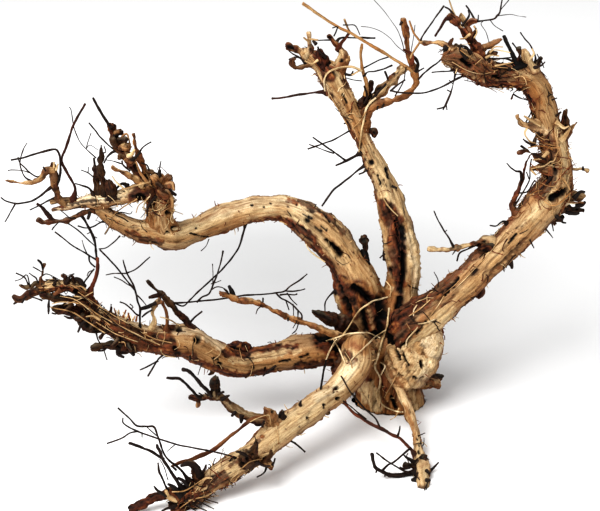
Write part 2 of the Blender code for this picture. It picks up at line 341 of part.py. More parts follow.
FRONT_BRANCHES = [
    (-133, -120, [(284, 424, 7), (268, 420, 6.5), (260, 419.5, 6), (250, 416.5, 5.3), (240, 412.5, 5),
                  (232, 408, 4.9),
                  (226, 403, 4.9), (221, 398, 5), (214, 396.5, 4.5), (206, 397, 3.2), (199, 398, 2.8),
                  (190, 397, 1.5)]),
    (-125, -128, [(217, 397, 5), (216, 391, 4.8), (215.5, 386, 4.8), (215, 381, 4.3), (215, 378.5, 3)]),
    (-124, -152, [(213, 397, 3), (208, 391, 2), (203, 386, 1.9), (190, 372, 1.9), (183, 369.5, 1.8)]),
    (-122, -152, [(202, 398, 2.4), (196, 395, 1.6), (190, 388, 1.5), (180, 379, 1.3), (167, 378, 1.3)]),
    (-121, -118, [(199, 398, 2.8), (198, 404, 2.5), (197, 407, 1.9)]),
    (-130, -131, [(242, 415, 3), (241, 423, 1.1)]),
    (-127, -132, [(222, 399, 2.4), (229, 395.5, 0.9)]),
    (-137, -148, [(275, 424, 6), (269, 413, 5), (265, 409, 2.7)]),
    (-134, -136, [(282, 418, 4), (283, 411, 1.3)]),
    (-144, -188, [(271.5, 417, 2.4), (255, 417.5, 1.7), (247, 423, 1.7), (238, 431, 1.7),
                  (229, 437, 1.8), (215, 448.5, 2.1),
                  (208, 452.5, 2.2), (190, 460, 2.2), (183, 462, 1.8), (172, 466, 1.1)]),
    (-184, -187, [(202, 483, 9), (196, 470, 4.6), (190, 464, 3.5), (184, 463, 1.9)]),
    (-170, -212, [(246, 463, 3), (238, 460, 1.3), (229, 455.5, 0.9), (200, 449, 0.9), (179, 445, 0.9),
                  (159, 439, 0.9),
                  (136.5, 431, 0.9), (124, 424, 0.8), (123, 418, 0.8)]),
    (-205, -214, [(137.5, 431.5, 1), (130, 433, 0.8), (122, 438, 0.8), (107, 443.5, 0.8)]),
    (-188, -200, [(195, 489, 4), (185, 475, 1.7), (178, 467, 1.4), (165, 456, 1.1), (159, 439, 1),
                  (154, 427.5, 1.1),
                  (147, 426.5, 0.9), (136.5, 425.5, 1), (129, 418, 0.8), (118, 408, 0.8)]),
    (-192, -218, [(185, 494, 5), (179, 484, 2), (175, 478, 1.8), (166, 464, 1.6), (158.5, 450, 1.6),
                  (157, 445, 1.4)]),
    (-210.5, -222, [(163.5, 459, 1.7), (150, 450.5, 1.4), (143, 448, 1.5), (129.5, 443, 1.4)]),
    (-198, -210, [(169, 492, 2.4), (166, 487, 1.3), (162, 477, 1.1), (159, 471, 1.3), (158, 463, 0.9)]),
    (-194, -203, [(180, 498, 8), (170, 494, 6.6), (158, 497.5, 4.4), (150, 500, 4.3), (140, 504, 4.7),
                  (132, 509, 5)]),
    (-165, -183, [(251, 460, 8), (247, 460, 8.4), (244, 456, 5)]),
    (-173, -186, [(252, 461, 5), (252, 456, 4.3), (255, 449, 4), (257, 444, 2.8), (256, 441, 1.3)]),
    (-181, -184, [(246, 458, 2.4), (243, 453, 1.2)]),
    (-158, -172, [(259, 453, 6), (269, 464, 4.4), (272, 467, 2)]),
    (-166, -176, [(266, 461, 4), (271, 455, 2.2), (271, 450, 1.3)]),
    (-170, -176, [(269, 466, 2.2), (273, 464, 1.3), (275, 458.5, 0.9)]),
    (-169, -178, [(267.5, 464.5, 2.2), (264, 473, 0.9), (257, 477, 0.8)]),
    (-138, -142, [(283, 432, 4), (288, 439, 1.1), (296, 444, 1), (305, 452, 1)]),
    (-138, -140, [(280, 435, 4), (283, 443, 1.3), (283.5, 446, 1)]),
    (-108, -112, [(310, 412, 6), (312, 421, 2.6), (312.5, 425, 1)]),
    (-94, -98, [(325, 405, 5), (328, 413.5, 1.6)]),
    (-70, -101, [(343, 378, 3), (346, 385, 1), (363, 407, 0.9), (375, 418, 0.9), (380, 428, 1.2)]),
]
LEG_BRANCHES = [
    (-124, -82, [(418, 460, 3), (414, 453, 1.7), (410, 448, 1.5), (404, 442, 1.5), (398, 437, 1.7),
                 (390, 434, 1.8),
                 (380, 428, 1.9), (370, 423, 1.9), (360, 417, 1.8), (353, 412, 1.4), (340, 398, 1.4)]),
    (-141, -152, [(421, 472, 4), (413, 473, 2.4), (407, 474.5, 2.3), (400, 476, 2.3), (393, 475.5, 2.3),
                  (386, 473, 2.1),
                  (376, 468, 1.9), (373.5, 461, 1.9), (372, 454, 1.8)]),
    (-149, -120, [(381, 471.5, 1.5), (388, 465, 1.1), (395, 461, 1), (410, 448.5, 1.1)]),
    (-143.5, -160, [(411, 473.4, 1.8), (402, 470, 1), (390, 463, 0.9), (376.5, 453, 1)]),
    (-134, -142, [(419, 463, 4.5), (411, 464, 3.4), (406, 465, 3.9)]),
    (-140, -134, [(424, 470, 3), (431, 470, 1.4), (438.5, 462.5, 0.9)]),
    (-128, -134, [(420, 462, 4.5), (424, 458, 3)]),
    (-142, -146, [(423, 472, 5), (428, 472.5, 3)]),
    (-150, -152, [(422, 480, 3), (412, 480, 1.1)]),
    (-111.3, -110, [(397.5, 437, 1.5), (399.5, 430, 0.9), (400, 426, 0.7)]),
    (-22, -14, [(412, 382, 7), (421, 384, 5.6), (438, 384, 5.6)]),
    (-10, 6, [(424, 370, 5), (434, 374.5, 3.3), (441, 377, 3)]),
]
STEMS = {
    "archHead": ARCH_HEAD, "archTwig": ARCH_TWIGS, "lowHead": LOW_HEAD, "middleTwig": MIDDLE_TWIGS,
    "centreHead": CENTRE_HEAD, "centreBranch": CENTRE_BRANCHES, "centreTwig": CENTRE_TWIGS,
    "rightBranch": RIGHT_BRANCHES, "rightHead": RIGHT_HEAD, "frontBranch": FRONT_BRANCHES,
    "legBranch": LEG_BRANCHES,
}


# Returns the place in metres of a sheet point at a depth, and how much the sheet shrinks there
def place(across, down, depth):
    up = Vector((0, math.sin(EYE_PITCH), math.cos(EYE_PITCH)))
    forward = Vector((0, math.cos(EYE_PITCH), -math.sin(EYE_PITCH)))
    right = Vector((1, 0, 0))

    def ray(across, down):
        aside = (across - SHEET_MIDDLE[0]) * MM
        above = (SHEET_MIDDLE[1] - down) * MM
        return forward * EYE_DISTANCE + right * aside + up * above

    eye = -ray(*FOOT_ON_SHEET)
    line = ray(across, down)
    reach = (depth * MM - eye.y) / line.y
    return eye + line * reach, reach


# A smooth curve through the route's own points, read off at an even spacing (Catmull-Rom)
def smooth_route(points, spacing):
    rows = np.array(points, float)
    rows = np.vstack([2 * rows[0] - rows[1], rows, 2 * rows[-1] - rows[-2]])
    fine = []
    for a, b, c, d in zip(rows, rows[1:], rows[2:], rows[3:]):
        for t in np.linspace(0, 1, 9)[:-1]:
            fine.append(0.5 * (2 * b + (c - a) * t + (2 * a - 5 * b + 4 * c - d) * t * t
                               + (3 * b - a - 3 * c + d) * t ** 3))
    fine.append(rows[-2])
    fine = np.array(fine)
    length = np.concatenate([[0], np.cumsum(np.linalg.norm(np.diff(fine[:, :3], axis=0), axis=1))])
    stations = np.linspace(0, length[-1], max(3, round(length[-1] / spacing) + 1))
    return np.array([[np.interp(s, length, fine[:, k]) for k in range(4)] for s in stations])


# Leaves out the points that a straight taper between their neighbours already gives
def lean_route(route, within):
    rows = np.array(route)
    if len(rows) < 3:
        return rows
    first, last = rows[0, :3], rows[-1, :3]
    chord = last - first
    share = np.clip((rows[:, :3] - first) @ chord / max(chord @ chord, 1e-12), 0, 1)
    straight = rows[0] + share[:, None] * (rows[-1] - rows[0])
    away = np.linalg.norm(rows - straight, axis=1)
    worst = int(np.argmax(away))
    if away[worst] <= within:
        return rows[[0, -1]]
    return np.vstack([lean_route(rows[:worst + 1], within)[:-1], lean_route(rows[worst:], within)])


# A round stem along a route of (x, y, z, radius) in metres: a curve with a bevel, then a closed mesh
def stem(name, route, sides_level, collection):
    curve = bpy.data.curves.new(name, "CURVE")
    curve.dimensions = "3D"
    curve.bevel_depth = 1.0
    curve.bevel_resolution = sides_level
    curve.use_fill_caps = True
    spline = curve.splines.new("POLY")
    spline.points.add(len(route) - 1)
    for point, (x, y, z, radius) in zip(spline.points, route):
        point.co = (x, y, z, 1)
        point.radius = radius
    rod = bpy.data.objects.new(name, curve)
    bpy.context.scene.collection.objects.link(rod)
    bpy.context.view_layer.update()
    evaluated = rod.evaluated_get(bpy.context.evaluated_depsgraph_get())
    mesh = bpy.data.meshes.new_from_object(evaluated)
    body = bmesh.new()
    body.from_mesh(mesh)
    bmesh.ops.remove_doubles(body, verts=body.verts, dist=WELD)
    bmesh.ops.recalc_face_normals(body, faces=body.faces)
    body.to_mesh(mesh)
    body.free()
    bpy.data.objects.remove(rod)
    piece = bpy.data.objects.new(name, mesh)
    collection.objects.link(piece)
    return piece


# Worn lumps: each vertex moves along its normal by a smooth noise of its place
def lump(mesh, height, length):
    for vertex in mesh.vertices:
        swell = noise.noise(vertex.co / length + Vector((3.1, 0.7, 5.3)))
        vertex.co += vertex.normal * height * 2 * swell


def thick_limbs(collection):
    for name, points in THICK_LIMBS.items():
        route = []
        for across, down, depth, radius in points:
            spot, reach = place(across, down, depth)
            route.append((*spot, radius * MM * reach))
        limb = stem(name, smooth_route(route, LIMB_RING_SPACING), LIMB_SIDES_LEVEL, collection)
        lump(limb.data, LUMP_HEIGHT, LUMP_LENGTH)


def burls(collection):
    for name, (centre, half) in BURLS.items():
        spot, reach = place(*centre)
        body = bmesh.new()
        bmesh.ops.create_icosphere(body, subdivisions=BURL_ROUNDNESS, radius=1.0)
        for vertex in body.verts:
            vertex.co = Vector(v * h * MM * reach for v, h in zip(vertex.co, half)) + spot
        bmesh.ops.recalc_face_normals(body, faces=body.faces)
        mesh = bpy.data.meshes.new(name)
        body.to_mesh(mesh)
        body.free()
        lump(mesh, LUMP_HEIGHT, LUMP_LENGTH)
        collection.objects.link(bpy.data.objects.new(name, mesh))


# Branches have six sides, and twigs four; the depth runs evenly from root to tip
def stems(collection):
    for group, rows in STEMS.items():
        for number, (root, tip, points) in enumerate(rows):
            flat = np.array([p[:2] for p in points], float)
            along = np.concatenate([[0], np.cumsum(np.linalg.norm(np.diff(flat, axis=0), axis=1))])
            route = []
            for (across, down, radius), share in zip(points, along / along[-1]):
                spot, reach = place(across, down, root + (tip - root) * share)
                route.append((*spot, radius * MM * reach))
            thick = max(p[2] for p in points[1:]) > BRANCH_MIN_RADIUS
            level = BRANCH_SIDES_LEVEL if thick else TWIG_SIDES_LEVEL
            stem(f"{group}{number}", lean_route(route, STRAIGHT_WITHIN), level, collection)


# The mesh that an object's modifiers give
def evaluated_mesh(item):
    bpy.context.view_layer.update()
    return bpy.data.meshes.new_from_object(item.evaluated_get(bpy.context.evaluated_depsgraph_get()))


# Drops loose scraps, and the inner skin of any hollow that the joining sealed
def keep_one_body(mesh):
    body = bmesh.new()
    body.from_mesh(mesh)
    seen = set()
    bodies = []
    for start in body.verts:
        if start in seen:
            continue
        seen.add(start)
        grown = [start]
        for vertex in grown:
            for edge in vertex.link_edges:
                other = edge.other_vert(vertex)
                if other not in seen:
                    seen.add(other)
                    grown.append(other)
        bodies.append(grown)
    bodies.sort(key=len)
    for scrap in bodies[:-1]:
        bmesh.ops.delete(body, geom=scrap, context="VERTS")
    body.to_mesh(mesh)
    body.free()


# Joins all the grown pieces in one body and thins its faces out. The solver is the manifold one,
# because the exact one leaves six non-manifold edges on these pieces.
def grow_together(pieces, wood):
    union = wood.modifiers.new("grow together", "BOOLEAN")
    union.operand_type = "COLLECTION"
    union.collection = pieces
    union.solver = "MANIFOLD"
    union.operation = "UNION"
    lean = wood.modifiers.new("fewer faces", "DECIMATE")
    lean.ratio = FACES_KEPT
    wood.data = evaluated_mesh(wood)
    wood.modifiers.clear()
    for piece in list(pieces.objects):
        bpy.data.objects.remove(piece)


# Cuts away everything below the foot's plane, so that the wood stands flat
def cut_foot(wood, cutters):
    bpy.ops.mesh.primitive_cube_add(size=1)
    block = bpy.context.object
    block.name = "foot plane"
    for home in list(block.users_collection):
        home.objects.unlink(block)
    cutters.objects.link(block)
    block.scale = FOOT_BLOCK
    block.location = (0, 0, -FOOT_BLOCK[2] / 2)
    block.hide_render = True
    block.display_type = "WIRE"
    cut = wood.modifiers.new("flat foot", "BOOLEAN")
    cut.object = block
    cut.operation = "DIFFERENCE"
    cut.solver = "MANIFOLD"
    wood.data = evaluated_mesh(wood)
    wood.modifiers.clear()
    bpy.data.objects.remove(block)


def wood_material():
    material = bpy.data.materials.new("weathered root wood")
    material.use_nodes = True
    shader = material.node_tree.nodes["Principled BSDF"]
    shader.inputs["Base Color"].default_value = WOOD_COLOUR
    shader.inputs["Roughness"].default_value = WOOD_ROUGHNESS
    shader.inputs["Metallic"].default_value = 0.0
    return material


def new_collection(name):
    collection = bpy.data.collections.new(name)
    bpy.context.scene.collection.children.link(collection)
    return collection


def main():
    for item in list(bpy.data.objects):
        bpy.data.objects.remove(item)
    parts = new_collection("driftwood")
    pieces = new_collection("grown pieces")
    cutters = new_collection("cutters")
    thick_limbs(pieces)
    burls(pieces)
    stems(pieces)
    first = pieces.objects["stump"]
    wood = bpy.data.objects.new("driftwood", first.data.copy())
    parts.objects.link(wood)
    bpy.data.objects.remove(first)
    grow_together(pieces, wood)
    cut_foot(wood, cutters)
    keep_one_body(wood.data)
    wood.data.materials.clear()
    wood.data.materials.append(wood_material())
    wood.data.shade_smooth()
    wood.data.set_sharp_from_angle(angle=SHARP_ANGLE)


main()
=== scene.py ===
# The looks of a tree-shaped aquarium driftwood: weathered root wood whose limbs, burls, broken stubs,
# branches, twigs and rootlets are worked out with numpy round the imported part. Sizes are millimetres,
# and a mesh is made in metres. +Z is up, the front faces -Y, and the origin is the middle of the foot.
import math

import bpy
import numpy as np
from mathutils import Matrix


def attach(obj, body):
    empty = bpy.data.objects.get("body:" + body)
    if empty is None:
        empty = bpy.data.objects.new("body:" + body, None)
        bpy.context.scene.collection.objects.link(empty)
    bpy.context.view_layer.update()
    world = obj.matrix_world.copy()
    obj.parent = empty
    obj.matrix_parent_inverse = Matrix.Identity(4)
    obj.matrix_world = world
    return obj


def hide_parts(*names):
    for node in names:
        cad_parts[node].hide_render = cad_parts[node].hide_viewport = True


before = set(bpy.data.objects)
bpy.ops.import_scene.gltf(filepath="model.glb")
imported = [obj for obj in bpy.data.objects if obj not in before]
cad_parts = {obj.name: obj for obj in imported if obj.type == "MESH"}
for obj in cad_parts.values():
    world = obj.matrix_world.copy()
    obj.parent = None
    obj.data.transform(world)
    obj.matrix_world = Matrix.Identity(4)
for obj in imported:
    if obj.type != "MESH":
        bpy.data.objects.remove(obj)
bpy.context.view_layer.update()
print("frame loaded")

mm = 0.001

# Every route is drawn on a front sheet of millimetres, seen by a standing eye that looks down on the
# wood. A point is (across, down) on the sheet, its depth behind the foot's middle and the wood's half
# thickness there.
eye = {
    "distance": 1300.0,
    "pitch": math.radians(22),
    "sheetMiddle": (300.0, 255.5),
    "footOnSheet": (395.0, 400.0),
}
eyeForward = np.array([0, math.cos(eye["pitch"]), -math.sin(eye["pitch"])])
eyeUp = np.array([0, math.sin(eye["pitch"]), math.cos(eye["pitch"])])


# The line from the eye to a point of the sheet: forward by the sheet's distance, then aside and up
def eyeLine(across, down):
    aside = np.asarray(across, float) - eye["sheetMiddle"][0]
    above = eye["sheetMiddle"][1] - np.asarray(down, float)
    line = eye["distance"] * eyeForward + above[..., None] * eyeUp
    line[..., 0] += aside
    return line


eyePlace = -eyeLine(*eye["footOnSheet"])


# The place of sheet points at a depth, and the reach: how much larger a sheet size is there
def placed(across, down, depth):
    line = eyeLine(across, down)
    reach = (np.asarray(depth, float) - eyePlace[1]) / line[..., 1]
    return eyePlace + line * reach[..., None], reach


# The other way round: where a place shows on the sheet, and its reach
def sheetOf(places):
    away = places - eyePlace
    reach = away @ eyeForward / eye["distance"]
    across = eye["sheetMiddle"][0] + away[..., 0] / reach
    down = eye["sheetMiddle"][1] - away @ eyeUp / reach
    return across, down, reach


# The thick limbs, as (across, down, depth, radius) from the root outwards
thickLimbs = {}
thickLimbs["stump"] = [
    (394, 326, 16, 26), (392, 348, 10, 30), (390, 370, 5, 32.5), (389, 390, 3, 33), (388, 418, 2, 35),
]
thickLimbs["crown"] = [
    (362, 314, 10, 20), (378, 318, 18, 26), (394, 324, 22, 29), (410, 330, 17, 26), (424, 334, 8, 20),
]
thickLimbs["archLimb"] = [
    (374, 322, 6, 24), (362, 300, 0, 24), (355, 280, -2, 22), (350, 268, -3, 19), (343, 256, -2, 18.5),
    (333, 243, 0, 19.5), (322, 232, 3, 20), (312, 224, 6, 18), (300, 216, 9, 15.5), (285, 209, 10, 12.5),
    (270, 208, 9, 12), (255, 209.5, 7, 12.5), (240, 212.5, 3, 13), (225, 217, -2, 13.5),
    (212, 223, -8, 13.5), (200, 228.5, -14, 13), (190, 231.5, -19, 13.5), (177, 236, -27, 13),
    (165, 236, -33, 12.5), (150, 233, -38, 11), (135, 230, -42, 10.8), (120, 223, -47, 9.3),
    (108, 216, -50, 7.5), (99, 210, -52, 5),
]
thickLimbs["archCrown"] = [
    (172, 236, -30, 10), (162, 225, -35, 12.5), (159.5, 212, -38, 12.5), (159, 200, -41, 12.5),
    (158, 190, -44, 11), (157, 180, -46, 7.5),
]
thickLimbs["archPaleBranch"] = [
    (158, 192, -43, 9), (145, 191, -46, 8.5), (135, 193, -49, 8.5), (120, 197, -52, 7.5),
    (105, 200, -55, 7.5), (90, 201, -57, 7), (75, 204, -59, 5), (65, 207, -60, 3.5), (53, 209.5, -61, 2),
]
thickLimbs["lowLimb"] = [
    (372, 348, -2, 19), (352, 348, -9, 16.5), (335, 349, -14, 15.5), (318, 350, -19, 16),
    (300, 352, -25, 17), (288, 355, -29, 15.5), (272, 359, -33, 13.5), (257, 361, -37, 13),
    (243, 364, -41, 13.5), (230, 362, -44, 13.5), (217, 356.5, -48, 14.5), (205, 350.5, -52, 14.8),
    (195, 345, -55, 15.5), (185, 341, -58, 16), (170, 340, -63, 15), (155, 339, -67, 14),
    (145, 338, -70, 13.5), (135, 335, -73, 13), (125, 330, -76, 12), (115, 325, -78, 10.5),
    (104, 320, -80, 10), (96, 313, -83, 9), (90, 304, -85, 7.5), (85, 297, -87, 6.5), (78, 290, -89, 5.5),
    (70, 285, -91, 5), (60, 285, -93, 5), (50, 286, -95, 5.5), (41, 287, -96, 4.8),
]
thickLimbs["centreLimb"] = [
    (398, 335, 8, 20), (400, 312, 5, 18), (401, 290, 5, 16.7), (403, 270, 6, 16.2), (401.5, 250, 8, 16.3),
    (398, 230, 10, 16), (393, 210, 12, 14.8), (387, 190, 14, 11.8), (380, 175, 15, 10.3),
    (371, 156, 16, 9.6), (363.5, 140, 17, 8.3), (357, 125, 18, 9.2), (350, 110, 19, 9.8),
    (344, 98, 19, 11.2), (336, 86, 20, 11.6), (330, 75, 20, 12), (322, 66, 21, 9), (312, 57, 22, 7),
    (305, 53, 23, 5.5),
]
thickLimbs["rightLimb"] = [
    (400, 350, -4, 19), (404, 336, -9, 22), (414, 325, -14, 21.5), (429, 313, -17, 19.5),
    (443, 303, -19, 17.5), (459, 290, -20, 16.4), (473, 277, -19, 15.7), (488, 262, -18, 16),
    (503, 248, -16, 16.3), (519, 232, -14, 17), (534, 215, -12, 18), (546, 200, -11, 19),
    (554, 186, -10, 17), (556, 170, -10, 14.5), (555, 155, -10, 14), (552, 140, -11, 13.5),
    (549, 125, -12, 11.5), (545, 112, -14, 12.5), (541, 100, -16, 12), (536, 88, -19, 13),
    (528, 78, -22, 13), (516, 75, -25, 12.5), (503, 76, -28, 12), (490, 74, -31, 12), (478, 69, -34, 12),
    (466, 62, -37, 12), (456, 57, -40, 11), (449, 57, -42, 8.5),
]
thickLimbs["frontLimb"] = [
    (364, 354, -28, 14), (357, 349, -44, 15), (356, 366, -56, 15), (347, 380, -68, 14.3),
    (335, 392, -80, 13.5), (320, 403, -96, 13), (305, 414, -112, 13.5), (285, 427, -131, 14.2),
    (268, 441, -146, 13.6), (254, 454, -158, 13), (240, 463, -167, 13), (225, 472, -176, 12.3),
    (210, 482, -182, 12), (196, 492, -188, 11.5), (184, 500, -194, 10), (176, 505, -198, 8),
]
thickLimbs["frontLeg"] = [
    (389, 366, -14, 8), (394, 378, -27, 5.4), (402, 395, -46, 5.5), (408, 408, -63, 5.6),
    (412, 420, -78, 5.4), (416, 432, -92, 5.2), (418, 445, -109, 5.6), (420, 458, -124, 6.6),
    (422, 468, -137, 7.4), (422, 478, -150, 6.2), (423, 487, -160, 5),
]

# Burls, as (across, down, depth) and the half sizes along X, Y and Z in mm
burls = {
    "brainBurl": ((410, 364, -20), (25, 25, 25.5)),
    "brainBurlSide": ((424, 344, -17), (21, 20, 19)),
    "rightBurlLip": ((425, 365, -24), (13, 15, 13)),
    "darkRidge": ((238, 351, -33), (12.5, 10, 9.5)),
    "backBurl": ((396, 352, 30), (30, 16, 26)),
}

# Stems: depth at the root, depth at the tip, then (across, down, radius) from root to tip
stems = {}
stems["archHead"] = [
    (-57, -62, [(82, 203, 3), (70, 200, 2.2), (60, 201, 2.2), (51, 202.5, 2.3)]),
    (-46, -28, [(152, 188, 7), (142, 178, 5.5), (135, 170, 5), (130, 160, 5), (124, 152, 6), (118, 145, 6),
        (113, 135, 4.6), (112, 126, 4.4)]),
    (-44, -58, [(147, 180, 4), (141, 163, 3), (137, 150, 2.5), (134.5, 143, 2.3), (133.5, 134, 2)]),
    (-50, -66, [(150, 190, 5), (141, 184, 4.2), (133, 178, 3.6), (125, 173, 3), (118, 170, 2.2),
        (112, 166.5, 1.2)]),
    (-56, -58, [(112, 199, 6), (109, 187, 6.4), (108, 182, 4)]),
    (-55, -66, [(104, 198, 5), (102, 178, 3.5), (100, 162, 3.2), (101, 155, 2), (101, 145, 1.3)]),
    (-56, -50, [(99, 199, 4), (97, 180, 3), (95, 172, 3.3), (94, 165, 2), (94, 158, 1.5)]),
    (-56, -62, [(96, 199, 2), (90, 189, 1.2), (82, 185.5, 0.9), (75, 183.5, 0.7)]),
    (-58, -76, [(73, 204, 3), (75, 189, 1.6), (71, 180, 1.4), (63, 165, 1.4), (62, 158, 1.3),
        (66, 147, 1.6), (70, 135, 1.4), (74, 124, 1.4), (85, 104, 1.3)]),
    (-34, -48, [(119, 151, 1.6), (112, 148, 0.9), (101, 138, 0.8), (95, 130, 0.8), (89, 123, 0.7)]),
    (-30, -44, [(113, 131, 2.2), (109, 125, 1.5), (99.5, 110, 1.4), (93, 98, 1.3)]),
    (-36, -30, [(120, 150, 1.6), (113, 152, 1.4), (107, 157, 0.9), (104, 163, 0.8)]),
    (-51, -62, [(138.7, 158, 1.4), (141, 150, 0.9), (146, 145, 0.8), (151, 142, 0.8)]),
    (-48, -52, [(156, 184, 4.5), (154, 175, 2.8), (147, 171, 1.6)]),
    (-46, -44, [(160, 197, 9), (164, 186, 6.5), (164, 179, 3.4)]),
    (-61, -64, [(66, 206, 3.2), (58, 196, 2.8), (55, 188, 3), (54, 181, 4.2), (54, 172, 4.2),
        (53, 163, 3)]),
    (-62, -84, [(56, 186, 2.2), (60, 174, 1.4), (60, 160, 1.2), (58, 152, 1.2), (53, 149, 1.2),
        (35, 154, 1.1), (22, 158, 1.1), (11, 160, 1)]),
    (-68, -60, [(32, 182, 1.4), (25, 177, 0.8), (22, 171, 0.7), (20, 162, 0.7), (23, 150, 0.7),
        (27, 143, 0.6)]),
    (-65, -72, [(45.5, 173.5, 1.8), (38, 177, 0.9), (30, 173, 0.8), (25, 168, 0.7), (20, 163, 0.7),
        (18, 157, 0.7)]),
    (-64, -72, [(54, 170, 3.6), (46, 171, 4), (42, 177, 3), (37, 181, 2.3), (30, 183, 2), (20, 183, 1.5),
        (12, 181.5, 1.4), (6.5, 180, 1.2)]),
    (-64, -90, [(53, 186, 2.3), (46, 191, 1.4), (40, 196, 1.2), (32, 201, 1.1), (22, 203, 1),
        (15, 203.5, 0.9), (6, 201, 0.8), (1, 197.5, 0.7)]),
    (-83, -92, [(15.5, 203.5, 1), (11, 211, 0.7), (8, 217, 0.7), (5, 222, 0.6)]),
    (-62, -55, [(58, 197, 1.8), (48, 201, 0.9), (40, 205, 0.8), (30, 210, 0.7)]),
    (-46, -66, [(125, 224, 5.5), (112, 214, 3.6), (105, 211, 3.2), (92, 211, 3), (82, 214, 2.5),
        (72, 219, 2.2), (62, 221, 2.2), (52, 222, 2.3), (43, 222, 2), (38, 219.5, 2)]),
    (-60.5, -54, [(64, 221.3, 2.2), (57, 221, 1.8), (52, 219, 2), (46, 213, 2.2), (41, 207, 1.8),
        (37, 204, 1.5)]),
    (-57, -48, [(80, 214, 1.8), (84, 219, 1.3), (88, 226, 1.3), (92, 234, 1.3), (95, 243, 1.3),
        (97, 261, 1.1)]),
    (-49, -56, [(115, 221, 1.6), (102, 222, 0.9), (94, 226.5, 0.8), (86, 228, 0.7), (78, 226, 0.7)]),
    (-49, -46, [(114, 219, 1.6), (109, 227, 0.9), (105, 234, 0.8)]),
    (-61, -50, [(64.5, 221.3, 1.4), (72, 226, 0.7), (80, 232, 0.7), (88, 240, 0.7), (95, 246, 0.7)]),
    (-48, -66, [(97.5, 260.5, 1.1), (90, 256, 0.9), (85, 253, 0.9), (73, 246, 0.8), (64, 239, 0.8),
        (55, 232, 0.8)]),
    (-51, -44, [(89, 255.5, 1), (90, 262, 0.9), (95, 267, 0.8)]),
]
stems["archTwig"] = [
    (0, -34, [(246, 219, 1.8), (243, 234, 1), (238, 249, 0.9), (227, 264, 0.9), (213, 278, 0.9),
        (200, 290, 0.8), (190, 300, 0.8), (183, 306, 0.8), (174, 303, 0.8)]),
    (-2, -6, [(357, 264, 4), (364, 254, 3.2), (365, 247, 3.2), (364, 241, 4.3), (363, 237, 3.2)]),
    (-4, -6, [(363, 250, 2.6), (367, 258, 2), (369, 265, 0.9)]),
    (-8, -16, [(339, 290, 2), (333, 293, 1.1), (328, 298, 0.9), (325, 304, 0.8), (325, 311, 0.7)]),
]
stems["lowHead"] = [
    (-95, -100, [(44, 287, 4.4), (36, 291, 3.8), (30, 294, 3.6), (24, 297, 4), (18, 299, 3.8),
        (13, 297, 2.5)]),
    (-95, -108, [(44, 285, 4.2), (36, 284, 3.2), (31, 287, 3.1), (25, 288, 3), (20, 286, 2)]),
    (-84, -102, [(93, 309, 6), (83, 305, 5), (76, 301, 4), (67, 299, 3), (57, 298, 4.5), (47, 296, 3.6),
        (40, 294, 2.5)]),
    (-82, -92, [(102, 325, 7), (94, 330, 5), (87, 325, 6), (80, 317, 6), (72, 311, 6), (62, 309, 5.5),
        (53, 309, 2)]),
    (-87, -80, [(86, 297, 4.5), (90, 290, 2.5), (95, 280, 1.8), (97, 272, 2), (97.5, 265, 1.7),
        (97.5, 258, 1.7)]),
    (-89, -82, [(81, 292, 2), (84, 283, 0.9), (88, 277, 0.8), (94, 269, 0.8)]),
    (-96, -102, [(43, 287, 3.8), (41, 280, 3), (42, 276, 2), (43, 270, 1.6), (44, 264, 2)]),
    (-101, -108, [(43, 269, 1.5), (41, 263, 1.2), (38, 260, 1.1)]),
    (-103, -108, [(29, 287, 1.8), (27, 282, 0.9), (24, 277, 0.8), (16, 273, 0.7)]),
    (-98, -99, [(49, 296, 1.5), (49, 300, 1), (48.5, 307.5, 1.6), (48.5, 314, 0.7)]),
    (-92, -94, [(67, 286, 4.4), (66, 278, 2.5), (63, 275, 1.2)]),
    (-90, -92, [(72, 286, 3.5), (72, 276, 1.3)]),
    (-74, -84, [(137, 343, 7), (130, 347, 7), (122, 347, 8), (115, 346, 7), (108, 345, 3.5), (100, 346, 3),
        (92, 348, 2.5)]),
    (-79, -82, [(113, 321, 4.5), (111, 312, 2.5), (111, 304, 1.4)]),
    (-54, -68, [(196, 338, 6), (188, 323, 3.8), (183, 318, 3.5), (176, 310, 3.5), (170, 303, 3.2),
        (163, 297, 3.2), (157, 291, 3), (152, 286, 2), (147, 281, 1.5)]),
    (-65, -68, [(160, 295, 2.6), (149, 297.5, 1.5)]),
    (-70, -74, [(147, 339, 4), (153, 328, 3), (155, 320, 2.5), (153, 312, 2.5), (156, 304, 2.8),
        (160, 301, 3.8)]),
    (-68, -72, [(166, 332, 2.5), (167, 315, 1.4), (162, 302, 1.8)]),
    (-74, -80, [(156, 303, 2.4), (153, 304, 1.9), (147, 307, 1.9), (140.5, 309, 1.9)]),
    (-72, -98, [(142, 334, 2.4), (140, 327, 1.2), (140, 310, 1.2), (138, 302, 1.1), (134, 287, 1),
        (131, 281, 0.9), (127, 274, 0.9), (125, 268, 0.8), (123, 260, 0.7)]),
    (-87, -108, [(134.8, 290, 1.1), (128, 282, 0.9), (116, 267, 0.9), (108, 258, 0.8), (100, 250, 0.8)]),
    (-93.5, -82, [(126.5, 273.3, 1), (134, 270, 0.8), (142, 264, 0.8), (150, 257, 0.7)]),
    (-66, -72, [(166, 348, 2.2), (162, 356, 1.1), (158, 360, 1), (148, 376, 0.8)]),
    (-56, -50, [(187, 327, 1.8), (193, 319, 0.9), (202, 311.5, 0.8)]),
    (-48, -54, [(217, 364, 4), (212, 372, 1.9), (208, 374.5, 1.3)]),
    (-20, -32, [(298, 346, 5), (283, 348, 4.6), (270, 350.5, 5.4), (256, 353, 6.4), (244, 353, 8)]),
]
